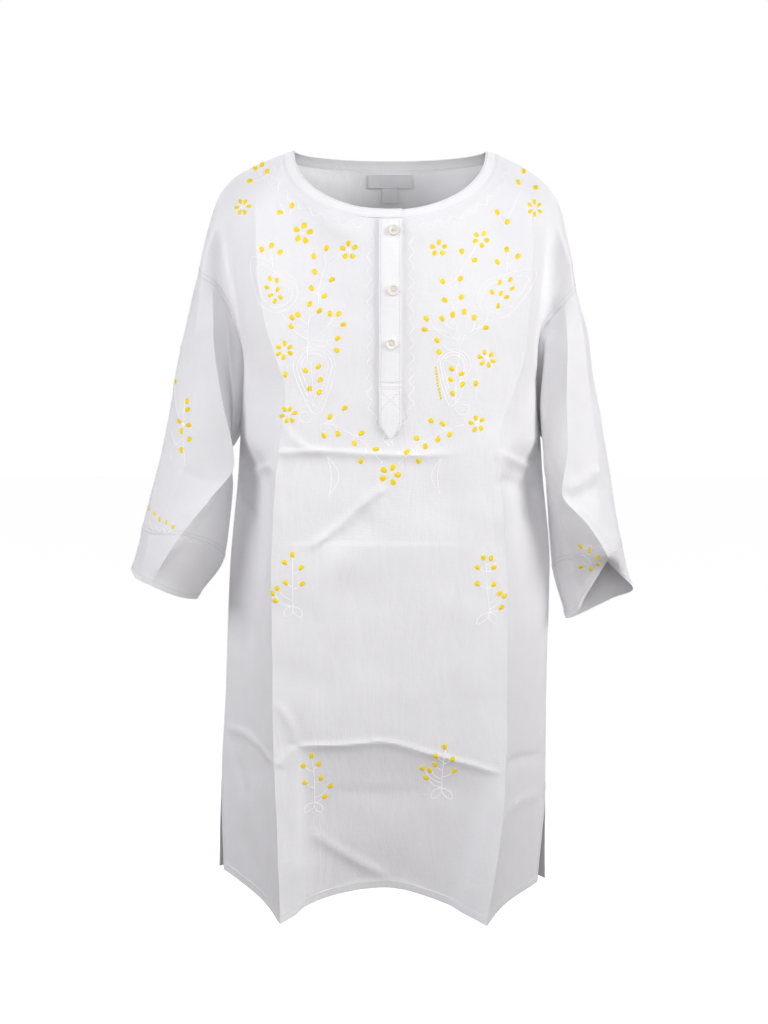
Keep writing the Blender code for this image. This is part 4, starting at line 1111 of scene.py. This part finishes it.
def flower(out, down, count, radius, first):
    """Petals set almost evenly round a centre, with a small white eye."""
    for index in range(count):
        angle = first + 360 * index / count + 5 * math.sin(index * 2.4 + out)
        turn = math.radians(angle)
        reach = radius * (1 + 0.06 * math.sin(index * 1.7 + down))
        middle = out + reach * math.cos(turn), down - reach * math.sin(turn)
        petal(*middle, angle, 0.98 * radius, 4.1 / count * radius)
    ring = np.radians(np.linspace(0, 360, 9))
    stem(np.stack([out + EYE_RADIUS * np.cos(ring), down + EYE_RADIUS * np.sin(ring)], axis=1), EYE_STEM)


def spray(trunk, tips, width=STEM_WIDTH):
    """A stem with side branches: each leaves the trunk a little before its tip and ends in a petal."""
    trunk = np.array(trunk, float)
    fine = along(trunk, [8] * (len(trunk) - 1))
    stem(trunk, width)
    lengths = run_lengths(fine)
    for out, down in tips:
        tip = np.array([out, down], float)
        nearest = int(np.linalg.norm(fine - tip, axis=1).argmin())
        back_by = BRANCH_LEAD * np.linalg.norm(fine[nearest] - tip)
        root = fine[int(np.searchsorted(lengths, max(lengths[nearest] - back_by, 0)))]
        way = tip - root
        length = np.linalg.norm(way)
        if length > SHORTEST_BRANCH:
            bow = BRANCH_BEND * np.array([-way[1], way[0]]) * (1 if way[0] > 0 else -1)
            middle = root + way / 2 + bow
            stem([root, middle, tip - PETAL_FOOT * way / length], BRANCH_WIDTH * width)
            run = tip - middle
        else:
            run = fine[min(nearest + 1, len(fine) - 1)] - fine[max(nearest - 1, 0)]
        petal(out, down, math.degrees(math.atan2(-run[1], run[0])))


def drop_outline(centre, tip, half_width, scale=1.0):
    """Outline of a teardrop: round about its centre, and drawn out to its tip."""
    centre, tip = np.array(centre, float), np.array(tip, float)
    reach = np.linalg.norm(tip - centre)
    way = (tip - centre) / reach
    turn = np.linspace(0, 2 * math.pi, 45)
    towards_tip = np.clip(np.cos(turn), 0, 1)
    ahead = np.where(towards_tip > 0, reach, half_width) * np.cos(turn)
    across = half_width * np.sin(turn) * (1 - 0.45 * towards_tip)
    sideways = np.array([-way[1], way[0]])
    return centre + scale * (ahead[:, None] * way + across[:, None] * sideways)


# Zigzag along the neck and down both sides of the placket, where it closes in round the point.
ZIGZAG_HALF, ZIGZAG_PITCH = 2.6, 15.5
NECK_ZIGZAG_INSET, NECK_ZIGZAG_TURNS = 24.0, (84, 13)
PLACKET_ZIGZAG, PLACKET_ZIGZAG_OUT, ZIGZAG_CLOSES, ZIGZAG_CLOSES_BY = (88, 308), 21.5, (262, 46), 18


def zigzag(lengths, phase=0):
    return ZIGZAG_HALF * np.sin(2 * math.pi * lengths / ZIGZAG_PITCH + phase)


for side in (-1, 1):
    turn = side * np.radians(np.linspace(*NECK_ZIGZAG_TURNS, 90))
    route = neck_point(turn, NECK_ZIGZAG_INSET)[:, [0, 2]] * np.array([1, -1])
    across = unit(np.gradient(route, axis=0))[:, ::-1] * np.array([1, -1])
    stem(route + zigzag(run_lengths(route))[:, None] * across)
    downs = np.linspace(*PLACKET_ZIGZAG, 165)
    closing = ZIGZAG_CLOSES_BY * ease((downs - ZIGZAG_CLOSES[0]) / ZIGZAG_CLOSES[1])
    stem(np.stack([side * (PLACKET_ZIGZAG_OUT - closing + zigzag(downs, side)), downs], axis=1))

# Right-arm side of the chest, then the middle, then the left-arm side: (out, down, petals, radius, first angle).
for each in (
    (-155, 62, 6, 6.4, 60), (-91, 90, 5, 7.6, 80), (-43, 108, 5, 6.8, 20), (-109, 210, 6, 6.8, 90),
    (-105, 276, 6, 6.6, 70), (0, 337, 5, 8.0, 70), (152, 63, 6, 6.4, 30), (94, 96, 5, 6.2, 60),
    (50, 106, 5, 6.4, 90), (99, 219, 6, 6.6, 45), (89, 285, 5, 6.2, 30),
):
    flower(*each)
# A looser flower lies half on the left cuff, its petals in an open ring.
for out, down, angle in (
    (204, 421, 110), (213, 425, 50), (222, 432, 20), (225, 441, -20), (217, 447, -60), (206, 445, 200),
):
    petal(out, down, angle, *DOT_SIZE)
stem(((206, 430), (212, 434), (216, 440), (210, 441), (206, 436)))
for trunk, tips in (
    (((-108, 73), (-121, 50), (-139, 24)),
     ((-144, 19), (-137, 15), (-131, 23), (-149, 33), (-115, 68), (-103, 61))),
    (((-74, 162), (-72, 140), (-66, 122), (-50, 111)),
     ((-79, 114), (-66, 106), (-78, 130), (-60, 138), (-81, 147), (-68, 155))),
    (((-122, 126), (-122, 112)), ((-133, 107), (-123, 103), (-114, 110))),
    (((-85, 222), (-85, 200), (-83, 168)),
     ((-95, 174), (-83, 163), (-73, 170), (-102, 186), (-101, 177))),
    (((-85, 203), (-72, 194), (-58, 176)), ((-62, 173), (-53, 173), (-48, 184))),
    (((-78, 201), (-66, 201), (-58, 200)), ((-54, 198), (-55, 210))),
    (((-80, 268), (-80, 246), (-82, 222)), ((-87, 231), (-74, 227), (-72, 240), (-83, 249), (-73, 253))),
    (((-72, 286), (-60, 286), (-44, 294), (-26, 306), (-8, 326)),
     ((-47, 269), (-62, 278), (-68, 297), (-54, 295), (-30, 295), (-37, 305), (-15, 311), (-30, 323))),
    (((-108, 235), (-108, 222)), ((-108, 235),)),
    (((119, 84), (130, 60), (146, 28)), ((143, 22), (136, 35), (155, 40), (112, 68), (122, 78))),
    (((64, 168), (64, 140), (62, 122), (54, 112)), ((54, 140), (72, 137), (56, 159), (73, 156))),
    (((64, 142), (76, 124), (90, 102)), ((74, 109), (87, 118))),
    (((120, 130), (121, 114)), ((111, 120), (121, 107), (132, 114))),
    (((70, 226), (70, 200), (66, 180)), ((37, 178), (53, 178), (64, 174), (48, 200), (50, 212))),
    (((72, 202), (82, 192), (94, 186)), ((76, 171), (86, 177), (98, 187))),
    (((68, 200), (52, 190), (40, 189)), ((35, 189),)),
    (((67, 264), (67, 246), (68, 226)), ((63, 229), (73, 234), (62, 240), (74, 245), (64, 254))),
    (((76, 286), (58, 292), (42, 300), (26, 310), (8, 326)),
     ((42, 282), (54, 285), (61, 296), (49, 301), (27, 300), (36, 308), (17, 314), (29, 323))),
    (((88, 262), (88, 246)), ((88, 244),)),
    (((-219, 330), (-221, 300), (-219, 262)),
     ((-217, 266), (-216, 275), (-226, 288), (-215, 291), (-223, 298), (-214, 306), (-223, 318))),
    (((-233, 252), (-231, 270), (-222, 292)), ((-232, 247),)),
    (((-235, 300), (-230, 312), (-221, 304)), ()),
    (((-236, 330), (-231, 312), (-221, 318), (-219, 334)), ()),
):
    spray(trunk, tips)

# Paisleys by the arms and under the sprays: nested outlines round their dots, each with a curled stalk.
for centre, tip, half_width, dots, stalk in (
    ((-117, 151), (-143, 115), 21,
     ((-124, 137), (-117, 139), (-127, 146), (-116, 148), (-123, 154), (-113, 156), (-119, 160)),
     ((-112, 171), (-102, 188), (-86, 199))),
    ((111, 157), (152, 129), 21,
     ((113, 141), (124, 138), (105, 151), (126, 147), (114, 152), (120, 156), (111, 165)),
     ((101, 173), (94, 186), (72, 202))),
):
    for scale in (1.0, 0.76):
        stem(drop_outline(centre, tip, half_width, scale))
    for dot in dots:
        petal(*dot, math.degrees(math.atan2(centre[1] - dot[1], dot[0] - centre[0])), *DOT_SIZE)
    stem(stalk)
for out, top, bottom, half_out, side in ((-78, 206, 276, 22, -1), (65, 209, 268, 17, 1)):
    for scale in (1.0, 0.82, 0.64):
        stem(drop_outline((out, top + half_out), (out - side * 2, bottom), half_out, scale))
    stem(((out + side, bottom - 1), (out + side * 6, bottom + 8), (out + side * 14, bottom + 7),
          (out + side * 15, bottom - 1), (out + side * 9, bottom - 2)))
# Leaves under the sprays: two lines bowed outward that meet at both ends.
for out, top, bottom, bow in ((-65, 319, 359, 11.0), (52, 321, 357, -9.0)):
    share = np.linspace(0, 1, 15)
    for part in (0.32, 1):
        bowed = part * bow * np.sin(math.pi * share) + (0.12 * bow * share)
        stem(np.stack([out + bowed, top + (bottom - top) * share], axis=1))

# Bouquets on the skirt: a stem with paired petals over crossed looped stalks.
for trunk, tips, stalks in (
    (((-101, 474), (-101, 450), (-101, 424)),
     ((-101, 420), (-109, 428), (-92, 433), (-108, 449), (-91, 450), (-122, 460), (-117, 455), (-119, 468)),
     ((-109, 485), (-92, 485))),
    (((103, 480), (100, 455), (99, 428)),
     ((96, 423), (104, 424), (90, 433), (107, 433), (90, 450), (107, 451), (113, 460), (118, 463), (115, 475)),
     ((89, 492), (108, 492))),
    (((-80, 686), (-80, 664), (-82, 638)),
     ((-82, 633), (-91, 644), (-75, 643), (-90, 663), (-73, 659), (-63, 668), (-69, 680)),
     ((-91, 696), (-73, 697))),
    (((54, 670), (55, 650), (57, 628)),
     ((57, 623), (48, 633), (65, 636), (47, 643), (34, 648), (42, 650), (67, 650), (38, 659)),
     ((44, 682), (65, 682))),
):
    spray(trunk, tips, BOUQUET_STEM)
    foot = np.array(trunk[0], float)
    for stalk, aside in zip(stalks, (-5.0, 5.0)):
        middle = (foot + stalk) / 2
        stem([foot, middle + (aside, 0), stalk, middle + (-0.6 * aside, 2), foot + (0, -4)], BOUQUET_STEM)

# A row of petals over a zigzag by the right cuff's seam, and a short zigzag by the left one.
CUFF_PETAL, CUFF_ZIGZAG_PITCH = (5.4, 3.6), 9
for out, down, angle in ((-262, 384, 100), (-254, 388, 95), (-247, 392, 90), (-239, 395, 90), (-231, 399, 85)):
    petal(out, down, angle, *CUFF_PETAL)
for start, end, half in (((-267, 397), (-202, 415), 2.4), ((206, 421), (232, 419), 1.6)):
    share = np.linspace(0, 1, 70)[:, None]
    route = np.array(start) * (1 - share) + np.array(end) * share
    waves = np.linalg.norm(np.subtract(end, start)) / CUFF_ZIGZAG_PITCH
    route[:, 1] += half * np.sin(share[:, 0] * waves * 2 * math.pi)
    stem(route)
# A short column of yellow satin stitch by the left-arm teardrop, leaning out as it goes down.
COLUMN_TOP, COLUMN_LEAN, COLUMN_HEIGHT, COLUMN_STITCH = (47, 228), 5, 31, (2.9, 2.4)
for share in np.linspace(0, 1, 11):
    petal(COLUMN_TOP[0] + COLUMN_LEAN * share**1.6, COLUMN_TOP[1] + COLUMN_HEIGHT * share, -82, *COLUMN_STITCH)

petal_pieces = add_object("embroidery_petals", petals[0], petals[1], yellow_floss, petals[2])
stem_pieces = add_object("embroidery_stems", stems[0], stems[1], white_floss)

# Buttons keep their turned solids; crossed threads hold each one down.
BUTTONS = (("button_1", 88.0), ("button_2", 149.0), ("button_3", 204.0))
THREAD_RADIUS, HOLE_SPACING, THREAD_SIDES = 0.32, 2.4, 6
THREAD_FOOT, THREAD_ARCH, THREAD_SINK = 0.35, 0.75, 0.25
BUTTON_HALF = 6.0


def finished(node, finish):
    """Gives a solid that stays as it is its own material."""
    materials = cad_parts[node].data.materials
    materials.clear()
    materials.append(finish)


points, faces = [], []
for node, down in BUTTONS:
    finished(node, pearl)
    centre = sum(np.array(corner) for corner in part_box(node)) / 2 / MM
    top, bottom = (met(placket_tree, 0, down + part * BUTTON_HALF)[0] for part in (-1, 1))
    right, upward = np.array([1.0, 0, 0]), unit(top - bottom) * np.array([0, 1, 1])
    outward = np.cross(right, upward)
    for sign in (-1, 1):
        first, last = (part * HOLE_SPACING / 2 * (right + sign * upward) for part in (-1, 1))
        spread = unit(np.cross(last - first, outward))
        start = len(points)
        for share in np.linspace(0, 1, THREAD_SIDES + 1):
            height = THREAD_FOOT + THREAD_ARCH * math.sin(math.pi * share) - THREAD_SINK
            at = centre + first * (1 - share) + last * share + height * outward
            for turn in np.linspace(0, 2 * math.pi, THREAD_SIDES + 1)[:-1]:
                points.append(at + THREAD_RADIUS * (math.cos(turn) * spread + math.sin(turn) * outward))
        for row in range(THREAD_SIDES):
            for column in range(THREAD_SIDES):
                a, b = (start + row * THREAD_SIDES + each % THREAD_SIDES for each in (column, column + 1))
                faces.append((a, a + THREAD_SIDES, b + THREAD_SIDES, b))
button_thread = add_object("button_thread", points, faces, button_floss)

# Blank woven label and size tab keep their solids.
for node in ("neck_label", "size_tab"):
    finished(node, label_tape)

# Pale floor, far below the garment.
FLOOR, STAGE_HALF = -1.25, 9.0
mesh = bpy.data.meshes.new("floor")
corners = ((-1, -1), (1, -1), (1, 1), (-1, 1))
mesh.from_pydata([(STAGE_HALF * out, STAGE_HALF * fore, FLOOR) for out, fore in corners], [], [(0, 1, 2, 3)])
paper, _, shader = new_material("paper", "F4F4F4", 0.95)
shader.inputs["Emission Color"].default_value = opaque("FEFEFE")
shader.inputs["Emission Strength"].default_value = 0.80
mesh.materials.append(paper)
floor = bpy.data.objects.new("floor", mesh)
bpy.context.scene.collection.objects.link(floor)
floor.visible_diffuse = False

# Soft studio light: a pale room with a white wall all round, a key by the camera, a fill at each side and behind,
# and a narrow light far out at each side for the shoulders.
world = bpy.data.worlds.new("studio")
world.use_nodes = True
tree = world.node_tree
view = add_node(tree, "TexCoord").outputs["Generated"]
height = add_node(tree, "SeparateXYZ", {0: view}).outputs["Z"]
share = add_node(tree, "MapRange", {"Value": height, "From Min": -0.8, "From Max": 0.8}).outputs[0]
room = tree.nodes["Background"]
tree.links.new(blend(tree, share, "A3968A", "F4F4FF"), room.inputs["Color"])
room.inputs["Strength"].default_value = 0.26
wall = add_node(tree, "Background", {"Color": (1, 1, 1, 1)})
seen = add_node(tree, "LightPath").outputs["Is Camera Ray"]
lit = add_node(tree, "MixShader", {0: seen, 1: room.outputs[0], 2: wall.outputs[0]})
tree.links.new(lit.outputs[0], tree.nodes["World Output"].inputs["Surface"])
bpy.context.scene.world = world

for name, place, target, size, power, colour, spread in (
    ("key", (0.1, -1.95, 0.0), (0, 0, -0.42), 1.2, 3.1, "FFFEFD", 80),
    ("right_fill", (2.1, -1.25, 0.6), (0, 0, -0.22), 1.3, 6.9, "FFFEFE", 74),
    ("left_fill", (-2.1, -1.25, 0.6), (0, 0, -0.3), 1.3, 4.8, "FBFBFF", 74),
    ("right_side", (2.4, -0.45, 0.8), (0.1, 0, -0.1), 0.9, 0.7, "FFFDFB", 42),
    ("left_side", (-2.4, -0.45, 0.8), (-0.1, 0, -0.1), 0.9, 1.05, "FFFDFB", 42),
    ("back_fill", (0.0, 2.4, 0.6), (0, 0, -0.4), 1.6, 13.0, "FFFFFF", 95),
):
    data = bpy.data.lights.new(name, "AREA")
    data.shape, data.size, data.energy = "SQUARE", size, power
    data.spread, data.color = math.radians(spread), linear(colour)
    lamp = bpy.data.objects.new(name, data)
    lamp.location = place
    lamp.rotation_euler = (Vector(target) - Vector(place)).to_track_quat("-Z", "Y").to_euler()
    bpy.context.scene.collection.objects.link(lamp)

camera = bpy.data.cameras.new("camera")
camera.sensor_width, camera.lens = 36.0, 61.28
viewer = bpy.data.objects.new("camera", camera)
viewer.location = (-0.0065, -1.9, -0.16)
viewer.rotation_euler = (math.radians(90 - 6.9), 0, 0)
bpy.context.scene.collection.objects.link(viewer)
bpy.context.scene.camera = viewer
bpy.context.scene.view_settings.view_transform = "Standard"
